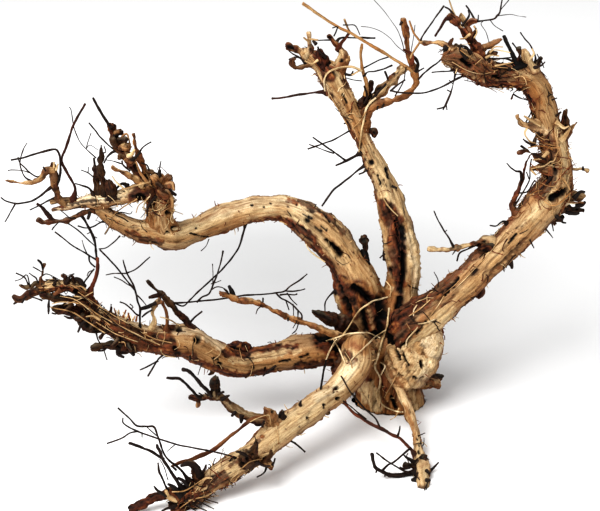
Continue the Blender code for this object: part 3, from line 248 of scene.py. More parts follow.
stems["middleTwig"] = [
    (-30, -68, [(354, 339, 5), (345, 336, 3.5), (335, 333.5, 3.5), (325, 330.5, 3.6), (315, 327, 3.5),
        (305, 323, 3.2), (288, 317, 3), (272, 309, 2.9), (256, 302, 3), (240, 300, 2.6), (233, 298, 2.6),
        (228, 295, 3), (220, 293, 2.8)]),
    (-64, -60, [(235.5, 299.3, 2.3), (233, 295, 2.3), (231, 290, 2), (229, 286, 1.8)]),
    (-62.5, -22, [(168, 303, 2), (185, 302.5, 0.9), (222, 299, 0.9), (240, 296, 0.9), (276, 293, 0.9),
        (285, 291, 1), (290, 286.5, 0.8), (300, 280, 0.8), (307, 274, 0.7)]),
    (-54.5, -70, [(197, 302.2, 1.1), (202, 297, 0.9), (208, 294.5, 0.9), (211, 290, 0.9), (218, 272, 0.8),
        (222, 257, 0.8), (223, 251, 1.1)]),
    (-45.5, -26, [(301, 321.4, 1.4), (302, 315, 0.9), (298, 310, 0.9), (293, 305, 1), (287, 301, 0.9),
        (281, 298, 0.9), (276, 293, 0.8)]),
    (-8, -30, [(354, 327, 9), (340, 322, 8.5), (331, 319.5, 7), (323, 316.5, 5), (317, 313.5, 3),
        (312.5, 311.5, 1.2)]),
    (-22, -28, [(342, 356, 8.5), (339, 366, 8), (337, 374, 5.5)]),
    (-24, -18, [(331, 352, 2), (325, 366, 1.1), (323, 375, 1.1), (320.5, 389, 1.2)]),
    (-2, -8, [(373, 334, 4.5), (371, 318, 5), (367, 309, 2.2)]),
]
stems["centreHead"] = [
    (22, 30, [(309, 55, 6), (300, 50.5, 4), (294, 48.5, 4.8), (288, 47, 3.4)]),
    (22, 16, [(309, 57, 5), (310, 47, 3), (309, 40, 1.7), (309, 33, 2.3)]),
    (22, 12, [(313, 61, 5), (305, 65, 2.6), (298, 67.3, 2.1), (293, 66, 2.1), (291.5, 61, 1.4),
        (294, 58.5, 1.1)]),
    (18.5, 24, [(306, 63, 2), (301, 58.5, 1), (296, 57, 0.9), (289, 59.5, 0.8)]),
    (20, 12, [(327, 70, 7.5), (322, 58, 5.6), (319, 52, 3.6)]),
    (20, 26, [(334, 76, 8.5), (340, 65, 7.2), (343, 56, 5), (340, 50, 3.8), (337, 46, 2.6), (333, 41, 2.4),
        (329, 36, 3)]),
    (22, 18, [(343, 63, 3.5), (349, 60, 2.1), (349, 56, 1.9)]),
    (24, 14, [(338, 50, 3.2), (341, 44, 2), (346, 38, 1.6), (350, 32, 1.4)]),
    (25, 40, [(336.5, 47, 2.3), (339, 39, 1.4), (350, 37.5, 1), (375, 38, 1)]),
    (18.5, 12, [(329, 94, 2.2), (324, 84, 1), (325, 77, 1), (329, 72, 1), (335, 69, 1), (350, 66.5, 1.1),
        (362, 71, 1.4)]),
    (17, 36, [(330, 93, 2.6), (320, 92, 1.7), (305, 94, 1.1), (296, 95, 1.2), (280, 98, 1),
        (272, 98.5, 1.1)]),
]
stems["centreBranch"] = [
    (18, 34, [(359, 122, 7.5), (366, 106, 5.6), (375, 97, 5.2), (388, 84, 4.6), (395, 77, 4.5),
        (402, 70, 4.5), (405, 66.5, 4.3)]),
    (16, 4, [(363, 130, 6.5), (367, 112, 5.5), (376, 106, 4.6), (384, 103, 4.1), (392, 100, 3.6),
        (400, 97, 3.4), (407, 93, 3.3), (413, 88, 3.1), (415.7, 82, 3), (416, 76, 3), (414, 68, 3.8),
        (409, 60, 3), (407.5, 52, 2.1), (406.5, 42, 2.3), (406, 30, 3), (404, 24, 2.8), (403, 19, 2)]),
    (6, 0, [(412, 64, 2.4), (412, 55, 1.7), (408, 52, 1.5), (403.5, 49.5, 1.1)]),
    (7, 10, [(414.5, 71.5, 2.6), (418, 65, 1.5), (416, 59, 1.5), (413, 56, 1.3)]),
    (19, 24, [(360.5, 107, 5.5), (366, 97, 4.4), (368, 92, 3.3), (369.5, 87, 2.1), (371, 82, 1.6)]),
    (20, 12, [(366, 95, 3), (367, 85, 2), (364, 76, 1.8), (362, 68, 1.7), (361, 60, 1.4), (361, 52, 1.5),
        (361.5, 48, 1.9), (362, 44, 1.2)]),
    (16.5, 4, [(363.5, 76, 1.4), (368, 72, 0.8), (375, 71.5, 0.8), (384, 69, 0.8), (392, 65.5, 1)]),
    (15.6, 26, [(362, 69, 1.2), (372, 64, 0.7), (380, 60, 0.7), (390, 56.5, 0.7)]),
    (7.5, 2, [(414, 72.5, 2.4), (400, 63, 1.6), (380, 50.5, 1.6), (360, 38.5, 1.5), (348, 31.5, 1.6),
        (337, 26.5, 1.4), (320, 15.5, 1.4), (303, 3.5, 1.5)]),
    (14, 9, [(350, 32.5, 1.3), (347, 26, 1.1), (344.5, 19.5, 1.1)]),
    (16, 12, [(365, 128, 3), (370, 129, 2.2), (374, 132.5, 3.8), (374, 137, 3)]),
]
stems["centreTwig"] = [
    (18, 0, [(358, 127, 2.2), (350, 130.5, 0.9), (335, 139, 0.8), (325, 143, 0.8), (308, 149, 1)]),
    (16, 4, [(366, 151, 2.4), (355, 156, 1.4), (348, 160, 1.3), (336, 165.5, 1.1)]),
    (8, -16, [(346, 161, 1.3), (338, 155, 1), (330, 149.5, 0.9), (313, 137.5, 0.8)]),
    (16, -4, [(371, 161, 2.2), (357, 171, 1), (350, 177, 1), (343, 182.5, 1), (333, 191, 1.2),
        (322, 206, 0.9)]),
    (14, 8, [(373, 166, 2), (364, 172, 0.9), (359, 174, 0.8)]),
    (8, 4, [(391, 246, 2.2), (385, 253, 1.6), (384, 260, 1.1)]),
]
stems["rightBranch"] = [
    (-17, -36, [(496, 243, 8), (486, 241, 6), (478, 243.5, 4), (472, 244, 3.2), (465, 246, 2.4),
        (455, 248, 2.1), (445, 249.5, 1.7), (436, 250, 1.7), (429, 249, 2.3)]),
    (-20, -28, [(494, 246, 6.5), (485, 247, 5), (480, 250, 3.4)]),
    (-29, -44, [(454, 248, 1.8), (449, 238, 0.9), (445, 232, 0.8), (438, 220, 0.8), (434, 211, 0.7)]),
    (-24, -30, [(476, 244.5, 2), (468, 249, 0.9), (460, 253, 1), (457, 261, 0.9)]),
    (-14, -26, [(512, 226, 3), (504, 221.5, 1.2), (500, 223, 0.9), (496, 226, 0.8), (490, 225.5, 0.7)]),
    (-14, -12, [(522, 221, 6), (512, 206, 3), (514.5, 199, 2.2), (517, 192, 2), (522, 180, 1.5),
        (525.5, 168, 1.4), (527, 161, 1.4), (531, 154, 1.5), (540, 157, 3)]),
    (-13.3, -34, [(521.8, 180, 1.8), (520, 172, 1.5), (516, 171, 1), (511, 168, 0.8), (507, 163.5, 0.7)]),
    (-14, -18, [(513, 207, 1.6), (519, 199, 0.8), (529, 181, 0.8), (530, 168, 0.7), (531.5, 159, 0.7)]),
    (-12, -26, [(544, 160, 5), (533, 154, 1.8), (527, 150, 1.6), (522, 151, 1.8), (518, 153, 1.2)]),
    (-21, -22, [(527, 150.5, 1.5), (524, 148, 1.2), (521, 146, 1.3)]),
    (-14, -22, [(548, 166, 7), (537, 168, 3), (531, 169, 1.8)]),
    (-13, -24, [(547, 128, 9), (536, 126, 8), (528, 125, 5.4), (522, 124, 3.5), (518, 119, 2),
        (516.8, 115, 1.1)]),
    (-16, -24, [(542, 130, 5), (536, 137, 2), (534.5, 143, 1.9), (532, 146, 1.2)]),
    (-9, 6, [(559, 152, 6), (563, 140, 4.2), (567, 135, 3.3), (571, 129, 3), (574, 125, 2.6),
        (577, 121.5, 1.7)]),
    (-10, -16, [(561, 144, 4.5), (564, 133, 3.9), (565.5, 124, 4.2), (565, 116, 2.7), (565, 110, 2)]),
    (-8, -2, [(560, 165, 6), (569, 168, 1.9), (575, 169.5, 1.7), (583, 169.5, 1.8), (587, 171, 1.8)]),
    (-3, -4, [(583, 170, 1.4), (583, 166.5, 1)]),
    (-6, -8, [(566, 167, 2.4), (570, 170, 1.1), (571, 178, 1.1), (571, 184, 1.7), (570, 188, 2.9),
        (568, 194, 3)]),
    (-10, -5, [(556, 200, 9), (567, 196, 6), (575, 196, 5), (580, 197, 4.5), (584, 196, 2.6)]),
    (-10, -4, [(552, 206, 8), (565, 208, 5.2), (572, 209.5, 4.3), (577, 209, 3.5), (584, 210, 2.1)]),
    (-14, -12, [(560, 202, 3.6), (570, 202.5, 1.7), (577, 203, 1.5), (584, 203, 1.4)]),
    (-11, -10, [(541, 217, 8), (552, 221, 3.2), (558, 218.5, 3), (563, 216, 1.8)]),
    (-11, -12, [(551, 219, 3.4), (555, 224, 1.7)]),
    (-10, -12, [(561, 217, 2.2), (562, 222, 1.3), (566, 223, 1)]),
    (-16, -16, [(507, 257, 4), (511, 265, 1.5), (511.5, 268, 1.1)]),
    (-20, -22, [(475, 285, 7), (481, 292, 4.4), (478, 297.5, 2)]),
    (-21, -28, [(527, 84, 4), (518, 90, 1.6), (513, 93, 1.2), (512, 99, 1.3)]),
]
stems["rightHead"] = [
    (-34, -30, [(486, 64, 7), (480, 52, 4.6), (476, 46, 4.5), (470, 39, 4.7), (464, 31, 4.6), (459, 24, 4),
        (454, 18.5, 3.6), (449, 15.5, 3)]),
    (-32, -27, [(471, 37, 3.6), (467, 26, 3), (463, 19, 2.8), (461, 13, 1.2)]),
    (-30, -30, [(464, 27, 3), (471, 21.5, 2.6), (476.5, 21, 2.4)]),
    (-34, -37, [(472, 43, 4), (474, 35, 2.6), (475.5, 31, 2), (476, 27.5, 1.7)]),
    (-30, -37, [(454, 18.5, 3.4), (447, 18, 2.2), (444, 21, 1.7), (441, 27, 1.4), (435, 36, 1.1)]),
    (-34, -24, [(477, 50, 2), (470, 40, 1), (463, 30, 1), (458, 21, 1), (453, 11, 0.9), (448.5, -2, 0.7)]),
    (-30, -28, [(455, 18, 1.8), (450, 10, 0.9), (445, 7, 0.8)]),
    (-30, -22, [(476, 21.5, 1.5), (470, 11, 0.8), (466, 5.5, 0.8)]),
    (-33, -22, [(478, 54, 4.4), (481, 49.5, 2.7), (485, 47, 3), (491, 44, 3.1), (497, 41, 2.7),
        (501, 39, 2)]),
    (-34, -42, [(484, 60, 4), (490, 53, 2), (496, 53, 1.6)]),
    (-40, -43, [(452, 51, 5), (450, 45, 2.7), (453, 38, 1.3)]),
    (-40, -38, [(457, 52, 4.5), (456, 43.5, 1.6)]),
    (-42, -30, [(453, 51, 5), (449, 47.5, 3.4), (444, 45, 3), (438, 43.5, 2.3), (432, 43, 1.5),
        (419.5, 41.5, 1.2)]),
    (-41, -41, [(447, 46.5, 2.4), (445, 53, 1.2)]),
    (-30, -22, [(420.5, 41.5, 1.2), (418, 45, 1.1), (413, 53, 1.2), (410.5, 58, 1.3)]),
    (-30, -34, [(420.5, 42, 1.2), (415, 35, 1.1), (412, 28, 1.2), (409.5, 21, 1)]),
    (-30, -42, [(421, 42, 1.1), (421.7, 38, 0.9), (428, 28, 0.9), (436, 17, 0.9), (444, 6, 0.9)]),
    (-27, -18, [(518, 68, 5), (515, 60, 2.5), (512, 53, 2.1), (508, 45, 1.8), (504, 36, 1.7)]),
    (-26, -32, [(520, 68, 5), (519, 60, 2.5), (519.5, 54, 2.2), (519, 48, 2.3)]),
    (-29.5, -34, [(519.3, 52.5, 1.4), (517, 49, 0.9), (512.5, 43, 0.8)]),
    (-24, -21, [(532, 72, 8), (528, 62, 5.6), (526, 56, 4.3), (524, 50, 2.2)]),
    (-24, -14, [(533, 66, 2.4), (536, 58, 1.1), (531, 46, 0.9), (525, 39, 0.8), (520.5, 32.5, 0.7)]),
    (-22, -24, [(534, 69, 3.4), (540, 60, 1.6), (541.5, 58, 1.4)]),
    (-40, -12, [(470, 68, 4), (464, 75, 1.4), (456, 79.5, 1.1), (440, 87.5, 1), (432, 90.5, 1),
        (422, 93, 0.9), (402, 92.5, 0.9), (390.5, 90.5, 1)]),
    (-12, -18, [(390.5, 91, 1.1), (398, 85, 0.9), (405, 80, 1)]),
    (-42, -4, [(452, 57, 3), (445, 57, 1.2), (437, 63, 1), (424, 73, 0.9), (418.5, 79, 1)]),
    (-40, -54, [(464, 68, 2.4), (450, 71, 0.9), (440, 71.5, 0.7), (432, 72.5, 0.7)]),
    (-42, -58, [(456, 64, 2.4), (454.5, 77, 0.9), (451, 92, 0.8), (446, 104, 1.1), (444, 107, 0.9),
        (437, 109, 0.8)]),
    (-30, -16, [(475, 22, 1.4), (484, 20.5, 0.8), (494, 19, 0.8), (497, 16, 0.9), (500, 12, 0.8),
        (502.5, -3, 0.7)]),
    (-36, -26, [(487, 61, 3), (496, 59, 1), (506, 58.5, 0.9), (515, 62, 1.4)]),
]
stems["frontBranch"] = [
    (-133, -120, [(284, 424, 7), (268, 420, 6.5), (260, 419.5, 6), (250, 416.5, 5.3), (240, 412.5, 5),
        (232, 408, 4.9), (226, 403, 4.9), (221, 398, 5), (214, 396.5, 4.5), (206, 397, 3.2),
        (199, 398, 2.8), (190, 397, 1.5)]),
    (-125, -128, [(217, 397, 5), (216, 391, 4.8), (215.5, 386, 4.8), (215, 381, 4.3), (215, 378.5, 3)]),
    (-124, -152, [(213, 397, 3), (208, 391, 2), (203, 386, 1.9), (190, 372, 1.9), (183, 369.5, 1.8)]),
    (-122, -152, [(202, 398, 2.4), (196, 395, 1.6), (190, 388, 1.5), (180, 379, 1.3), (167, 378, 1.3)]),
    (-121, -118, [(199, 398, 2.8), (198, 404, 2.5), (197, 407, 1.9)]),
    (-130, -131, [(242, 415, 3), (241, 423, 1.1)]),
    (-127, -132, [(222, 399, 2.4), (229, 395.5, 0.9)]),
    (-137, -148, [(275, 424, 6), (269, 413, 5), (265, 409, 2.7)]),
    (-134, -136, [(282, 418, 4), (283, 411, 1.3)]),
    (-144, -188, [(271.5, 417, 2.4), (255, 417.5, 1.7), (247, 423, 1.7), (238, 431, 1.7), (229, 437, 1.8),
        (215, 448.5, 2.1), (208, 452.5, 2.2), (190, 460, 2.2), (183, 462, 1.8), (172, 466, 1.1)]),
    (-184, -187, [(202, 483, 9), (196, 470, 4.6), (190, 464, 3.5), (184, 463, 1.9)]),
    (-170, -212, [(246, 463, 3), (238, 460, 1.3), (229, 455.5, 0.9), (200, 449, 0.9), (179, 445, 0.9),
        (159, 439, 0.9), (136.5, 431, 0.9), (124, 424, 0.8), (123, 418, 0.8)]),
    (-205, -214, [(137.5, 431.5, 1), (130, 433, 0.8), (122, 438, 0.8), (107, 443.5, 0.8)]),
    (-188, -200, [(195, 489, 4), (185, 475, 1.7), (178, 467, 1.4), (165, 456, 1.1), (159, 439, 1),
        (154, 427.5, 1.1), (147, 426.5, 0.9), (136.5, 425.5, 1), (129, 418, 0.8), (118, 408, 0.8)]),
    (-192, -218, [(185, 494, 5), (179, 484, 2), (175, 478, 1.8), (166, 464, 1.6), (158.5, 450, 1.6),
        (157, 445, 1.4)]),
    (-210.5, -222, [(163.5, 459, 1.7), (150, 450.5, 1.4), (143, 448, 1.5), (129.5, 443, 1.4)]),
    (-198, -210, [(169, 492, 2.4), (166, 487, 1.3), (162, 477, 1.1), (159, 471, 1.3), (158, 463, 0.9)]),
    (-194, -203, [(180, 498, 8), (170, 494, 6.6), (158, 497.5, 4.4), (150, 500, 4.3), (140, 504, 4.7),
        (132, 509, 5)]),
    (-165, -183, [(251, 460, 8), (247, 460, 8.4), (244, 456, 5)]),
    (-173, -186, [(252, 461, 5), (252, 456, 4.3), (255, 449, 4), (257, 444, 2.8), (256, 441, 1.3)]),
    (-181, -184, [(246, 458, 2.4), (243, 453, 1.2)]),
    (-158, -172, [(259, 453, 6), (269, 464, 4.4), (272, 467, 2)]),
    (-166, -176, [(266, 461, 4), (271, 455, 2.2), (271, 450, 1.3)]),
    (-170, -176, [(269, 466, 2.2), (273, 464, 1.3), (275, 458.5, 0.9)]),
    (-169, -178, [(267.5, 464.5, 2.2), (264, 473, 0.9), (257, 477, 0.8)]),
    (-138, -142, [(283, 432, 4), (288, 439, 1.1), (296, 444, 1), (305, 452, 1)]),
    (-138, -140, [(280, 435, 4), (283, 443, 1.3), (283.5, 446, 1)]),
    (-108, -112, [(310, 412, 6), (312, 421, 2.6), (312.5, 425, 1)]),
    (-94, -98, [(325, 405, 5), (328, 413.5, 1.6)]),
    (-70, -101, [(343, 378, 3), (346, 385, 1), (363, 407, 0.9), (375, 418, 0.9), (380, 428, 1.2)]),
]
stems["legBranch"] = [
    (-124, -82, [(418, 460, 3), (414, 453, 1.7), (410, 448, 1.5), (404, 442, 1.5), (398, 437, 1.7),
        (390, 434, 1.8), (380, 428, 1.9), (370, 423, 1.9), (360, 417, 1.8), (353, 412, 1.4),
        (340, 398, 1.4)]),
    (-141, -152, [(421, 472, 4), (413, 473, 2.4), (407, 474.5, 2.3), (400, 476, 2.3), (393, 475.5, 2.3),
        (386, 473, 2.1), (376, 468, 1.9), (373.5, 461, 1.9), (372, 454, 1.8)]),
    (-149, -120, [(381, 471.5, 1.5), (388, 465, 1.1), (395, 461, 1), (410, 448.5, 1.1)]),
    (-143.5, -160, [(411, 473.4, 1.8), (402, 470, 1), (390, 463, 0.9), (376.5, 453, 1)]),
    (-134, -142, [(419, 463, 4.5), (411, 464, 3.4), (406, 465, 3.9)]),
    (-140, -134, [(424, 470, 3), (431, 470, 1.4), (438.5, 462.5, 0.9)]),
    (-128, -134, [(420, 462, 4.5), (424, 458, 3)]),
    (-142, -146, [(423, 472, 5), (428, 472.5, 3)]),
    (-150, -152, [(422, 480, 3), (412, 480, 1.1)]),
    (-111.3, -110, [(397.5, 437, 1.5), (399.5, 430, 0.9), (400, 426, 0.7)]),
    (-22, -14, [(412, 382, 7), (421, 384, 5.6), (438, 384, 5.6)]),
    (-10, 6, [(424, 370, 5), (434, 374.5, 3.3), (441, 377, 3)]),
]

# Pairs of colours that the grain runs between
pale, light, dusty = ("sand", "cream"), ("tan", "cream"), ("tan", "sand")
golden, warm, peeling = ("gold", "tan"), ("ochre", "tan"), ("bark", "tan")
flaking, russet, reddish = ("bark", "ochre"), ("rust", "ochre"), ("bark", "rust")
scorched, charred, dark = ("bark", "umber"), ("umber", "bark"), ("umber", "ash")
sooty, burnt = ("umber", "black"), ("ash", "black")

# The pair of each limb, and of each stem that isn't coloured by its thickness
limbTones = {
    "stump": ("ochre", "gold"), "crown": russet, "archLimb": dusty, "archCrown": golden,
    "archPaleBranch": light, "lowLimb": golden, "centreLimb": dusty, "rightLimb": ("gold", "sand"),
    "frontLimb": dusty, "frontLeg": dusty, "brainBurl": pale, "brainBurlSide": dusty,
    "rightBurlLip": ("sand", "tan"), "darkRidge": scorched, "backBurl": ("ochre", "rust"),
}
stemTones = {}
stemTones["archHead"] = {
    0: ("tan", "umber"), 1: peeling, 2: golden, 3: dusty, 4: charred, 5: ("ash", "umber"), 6: charred,
    8: scorched, 13: charred, 14: peeling, 15: peeling, 19: light, 23: reddish, 24: scorched,
}
stemTones["archTwig"] = {1: ("ash", "umber"), 2: burnt}
stemTones["lowHead"] = {
    0: scorched, 1: ("umber", "tan"), 2: sooty, 3: sooty, 4: reddish, 6: flaking, 10: charred, 12: sooty,
    13: charred, 14: dark, 15: charred, 16: dusty, 17: flaking, 25: scorched,
}
stemTones["middleTwig"] = {0: golden, 1: burnt, 5: sooty, 6: scorched, 8: golden}
stemTones["centreHead"] = {
    0: peeling, 1: light, 2: peeling, 4: scorched, 5: warm, 6: ("tan", "umber"), 7: ("rust", "umber"),
    9: dusty, 10: charred,
}
stemTones["centreBranch"] = {
    0: ("gold", "sand"), 1: ("ochre", "gold"), 4: charred, 5: ("tan", "gold"), 8: golden,
    9: ("umber", "tan"), 10: sooty, 2: ("rust", "umber"),
}
stemTones["rightBranch"] = {
    0: dusty, 1: sooty, 5: ("ochre", "bark"), 8: ("rust", "umber"), 10: dusty, 11: light,
    13: ("tan", "gold"), 14: charred, 15: dusty, 18: peeling, 19: sooty, 20: light, 21: sooty, 25: scorched,
}
stemTones["rightHead"] = {
    0: ("rust", "tan"), 1: light, 2: ("rust", "bark"), 3: charred, 4: charred, 5: dusty, 8: ("rust", "tan"),
    10: peeling, 12: dusty, 14: ("tan", "gold"), 15: golden, 17: burnt, 18: sooty, 20: dusty,
}
stemTones["frontBranch"] = {
    0: ("umber", "tan"), 1: burnt, 2: dark, 9: ("ochre", "bark"), 10: charred, 17: scorched, 18: sooty,
    19: burnt, 21: peeling, 16: dark,
}
stemTones["legBranch"] = {
    0: ("umber", "rust"), 4: burnt, 6: burnt, 7: dusty, 10: ("tan", "gold"), 11: sooty,
}

# Marks on the limbs: kind, half width, strength (a height in millimetres, or a share of colour), and
# the line that the mark is drawn along on the sheet
limbMarks = {}
limbMarks["stump"] = [
    ("bark", 6, 0.5, [(386, 376), (388, 390), (390, 402)]), ("bark", 6, 1, [(362, 372), (366, 382)]),
    ("sand", 7, 0.9, [(362, 386), (368, 398), (376, 406)]), ("sand", 2.5, 0.9, [(371, 384), (376, 396)]),
    ("gold", 4, 0.8, [(384, 392), (390, 404)]), ("rust", 3, 0.8, [(382, 380), (384, 392)]),
    ("tan", 7, 0.9, [(408, 388), (414, 398), (416, 406)]), ("ochre", 5, 0.8, [(398, 398), (404, 408)]),
    # painted shade under the burl, where it sits on the stump
    ("umber", 4, 0.6, [(396, 388), (408, 388), (420, 386)]),
    ("dent", 3, 2.5, [(379, 386), (382, 398), (388, 408)]), ("hole", 2, 5, [(392, 398), (396, 408)]),
    ("ridge", 3, 2.5, [(406, 386), (412, 396), (416, 408)]),
    ("ridge", 3, 2, [(364, 384), (368, 396), (376, 408)]),
    ("hole", 6, 8, [(384, 362), (392, 374), (401, 386)]),
]
limbMarks["crown"] = [
    ("bark", 40, 1, [(350, 314), (394, 324), (430, 325)]), ("hole", 5, 7, [(352, 325), (366, 338)]),
    ("hole", 4, 6, [(376, 345), (384, 356)]), ("gold", 2.4, 0.9, [(371, 316), (374, 330)]),
    ("ridge", 2.4, 2.5, [(371, 316), (374, 330)]), ("bark", 12, 1, [(384, 318), (388, 334), (392, 350)]),
    ("hole", 4, 4, [(385, 325), (388, 345)]), ("gold", 6, 0.8, [(389, 290), (390, 300), (391, 309)]),
    ("ridge", 5, 2.5, [(389, 290), (390, 300), (391, 309)]),
    ("hole", 3, 5, [(400, 318), (396, 332), (393, 345)]),
]
limbMarks["archLimb"] = [
    ("cream", 5, 0.3, [(215, 216), (250, 204), (285, 201), (310, 212)]),
    ("tan", 11, 0.6, [(318, 224), (335, 238), (352, 258), (366, 272)]),
    ("gold", 4, 0.6, [(205, 236), (235, 225), (265, 219), (285, 221)]),
    ("ochre", 5, 0.5, [(330, 262), (340, 270), (352, 282)]), ("hole", 1.8, 5, [(326, 240), (331, 245)]),
    ("hole", 2.9, 7, [(332, 245), (337, 250)]), ("hole", 3.6, 8, [(338, 251), (340.5, 254)]),
    ("ridge", 1.6, 0.9, [(322, 240), (327, 249), (335, 256)]), ("knot", 4, 2, [(307, 220)]),
    ("hole", 1.1, 2.5, [(315, 227), (322, 231)]), ("hole", 1.1, 2.5, [(321, 226), (327, 230)]),
    ("hole", 1.1, 2.5, [(325, 215), (330, 221)]), ("hole", 1, 2, [(333, 217), (335, 221)]),
    ("hole", 1, 1.5, [(303, 214), (312, 218)]), ("hole", 1, 1.5, [(298, 226), (305, 230)]),
    ("ridge", 1.6, 1.3, [(346, 255)]), ("ridge", 1.6, 1.5, [(356, 264.5)]),
    ("ridge", 1.5, 1.3, [(357, 249)]), ("hole", 1.1, 1.5, [(196, 228)]), ("hole", 1.1, 1.5, [(252, 205)]),
    ("hole", 1.1, 1.5, [(271, 204)]), ("hole", 1, 1.5, [(264, 207)]), ("hole", 1.1, 1.5, [(296, 205)]),
    ("hole", 0.9, 1.5, [(190, 233), (202, 237), (209, 238.5)]),
    ("bark", 2.2, 0.9, [(250, 222), (270, 219), (284, 222)]),
    ("bark", 4.5, 1, [(280, 221), (300, 229), (311, 238), (318, 252), (328, 264), (333, 275), (338, 290)]),
    ("bark", 2.5, 0.8, [(288, 201), (305, 204), (320, 211), (333, 221), (343, 233)]),
    ("bark", 8, 1, [(342, 282), (348, 296), (350, 315)]),
    ("bark", 13, 1, [(358, 293), (370, 306), (380, 325), (384, 345)]),
    ("bark", 9, 1, [(384, 300), (392, 320), (394, 345)]), ("hole", 5, 6, [(380, 300), (384, 316)]),
    ("hole", 4, 5, [(374, 334), (384, 344)]), ("gold", 2, 0.9, [(368, 310), (371, 320), (373, 328)]),
    ("ridge", 2, 2, [(368, 310), (371, 320), (373, 328)]),
    ("bark", 9, 1, [(380, 312), (386, 330), (390, 348)]), ("hole", 3.4, 4, [(379, 320), (383, 338)]),
    ("hole", 3, 4, [(362, 312), (366, 330)]), ("gold", 5, 0.9, [(388, 284), (391, 297), (391, 308)]),
    ("hole", 4, 9, [(353, 288), (361, 292), (371, 300)]), ("hole", 3, 5, [(345, 300), (350, 312)]),
    ("hole", 1.5, 3, [(338, 283), (342, 292)]),
    ("gold", 2, 0.8, [(343, 279), (352, 283), (360, 285), (376, 292), (382, 297)]),
    ("ridge", 1.2, 1, [(365, 265), (372, 275), (380, 279), (386, 281)]),
    ("ridge", 1.6, 1.2, [(329, 270), (333, 285), (338, 300), (342, 315)]),
    ("bark", 3, 0.8, [(128, 232), (140, 237), (160, 242)]),
]
limbMarks["archCrown"] = [
    ("bark", 9, 1, [(150, 186), (165, 183)]), ("hole", 3.4, 5, [(152, 194), (152, 204)]),
    ("knot", 3.5, 2, [(167, 212)]), ("hole", 2.4, 3, [(167, 212)]), ("hole", 2.6, 3, [(174, 228)]),
    ("hole", 2.8, 3, [(168, 234)]), ("hole", 1.5, 2, [(178, 241)]),
    ("ochre", 3, 0.7, [(149, 205), (150, 220), (153, 232)]),
    ("sand", 4, 0.5, [(160, 200), (160, 222), (168, 236)]),
]
limbMarks["archPaleBranch"] = [
    ("bark", 9, 1, [(137, 196), (150, 192), (160, 188)]), ("hole", 4, 4, [(140, 197), (147, 201)]),
    ("umber", 1.2, 0.9, [(60, 207), (75, 203), (95, 200), (120, 199)]),
    ("umber", 1.0, 0.8, [(70, 210), (90, 206), (115, 203)]), ("bark", 3, 0.8, [(52, 208), (60, 206)]),
    ("gold", 3, 0.6, [(90, 209), (120, 206), (135, 202)]),
]
limbMarks["lowLimb"] = [
    ("cream", 4, 0.5, [(104, 314), (130, 321), (170, 330), (198, 332), (222, 347)]),
    ("sand", 5, 0.9, [(46, 285), (60, 280), (76, 280), (88, 287), (96, 300), (106, 313)]),
    ("bark", 5, 1, [(52, 292), (68, 290), (80, 296), (86, 308)]), ("hole", 3, 4, [(76, 292), (84, 300)]),
    ("bark", 6, 0.9, [(112, 337), (140, 347), (170, 353), (190, 358)]),
    ("bark", 4.5, 1, [(196, 362), (212, 368), (228, 375), (246, 377), (270, 372)]),
    ("knot", 5.4, 2.4, [(198, 340)]), ("hole", 3.6, 4, [(198, 340)]), ("hole", 3, 3, [(158, 308)]),
    ("hole", 3.4, 4, [(179, 329)]), ("hole", 3, 3, [(175, 348)]), ("bark", 5, 1, [(158, 318), (170, 328)]),
    ("bark", 8, 0.9, [(104, 321), (122, 331), (146, 338), (168, 342)]),
    ("bark", 5, 1, [(226, 352), (245, 355)]), ("bark", 3.6, 1, [(248, 350), (272, 349), (296, 348)]),
    ("sand", 3, 0.8, [(231, 360), (245, 362), (258, 358), (280, 353), (300, 350)]),
    ("hole", 2.6, 3, [(220, 365)]), ("hole", 1.6, 2, [(253, 368)]), ("hole", 1.6, 2, [(265, 369)]),
    ("hole", 1, 2, [(247, 357.5), (253, 357.5)]), ("hole", 1.5, 2, [(214, 358), (218, 360)]),
    ("hole", 1.2, 2, [(280, 362), (290, 360)]), ("hole", 1.2, 2, [(300, 357), (308, 355)]),
    ("bark", 4, 0.9, [(298, 366), (315, 364), (331, 362)]),
    ("bark", 11, 1, [(322, 338), (338, 350), (356, 352)]), ("hole", 5, 5, [(320, 336), (332, 338)]),
    ("hole", 4, 5, [(336, 345), (342, 358)]), ("bark", 3.5, 1, [(93, 291), (96, 300), (95, 311)]),
    ("hole", 3.4, 4, [(84, 308)]), ("umber", 1, 0.9, [(60, 283), (75, 285), (90, 298)]),
    ("umber", 1, 0.9, [(104, 318), (130, 328), (150, 334)]),
]
limbMarks["darkRidge"] = [
    ("bark", 20, 1, [(228, 350), (248, 352)]), ("hole", 3, 3, [(232, 349), (240, 352)]),
]
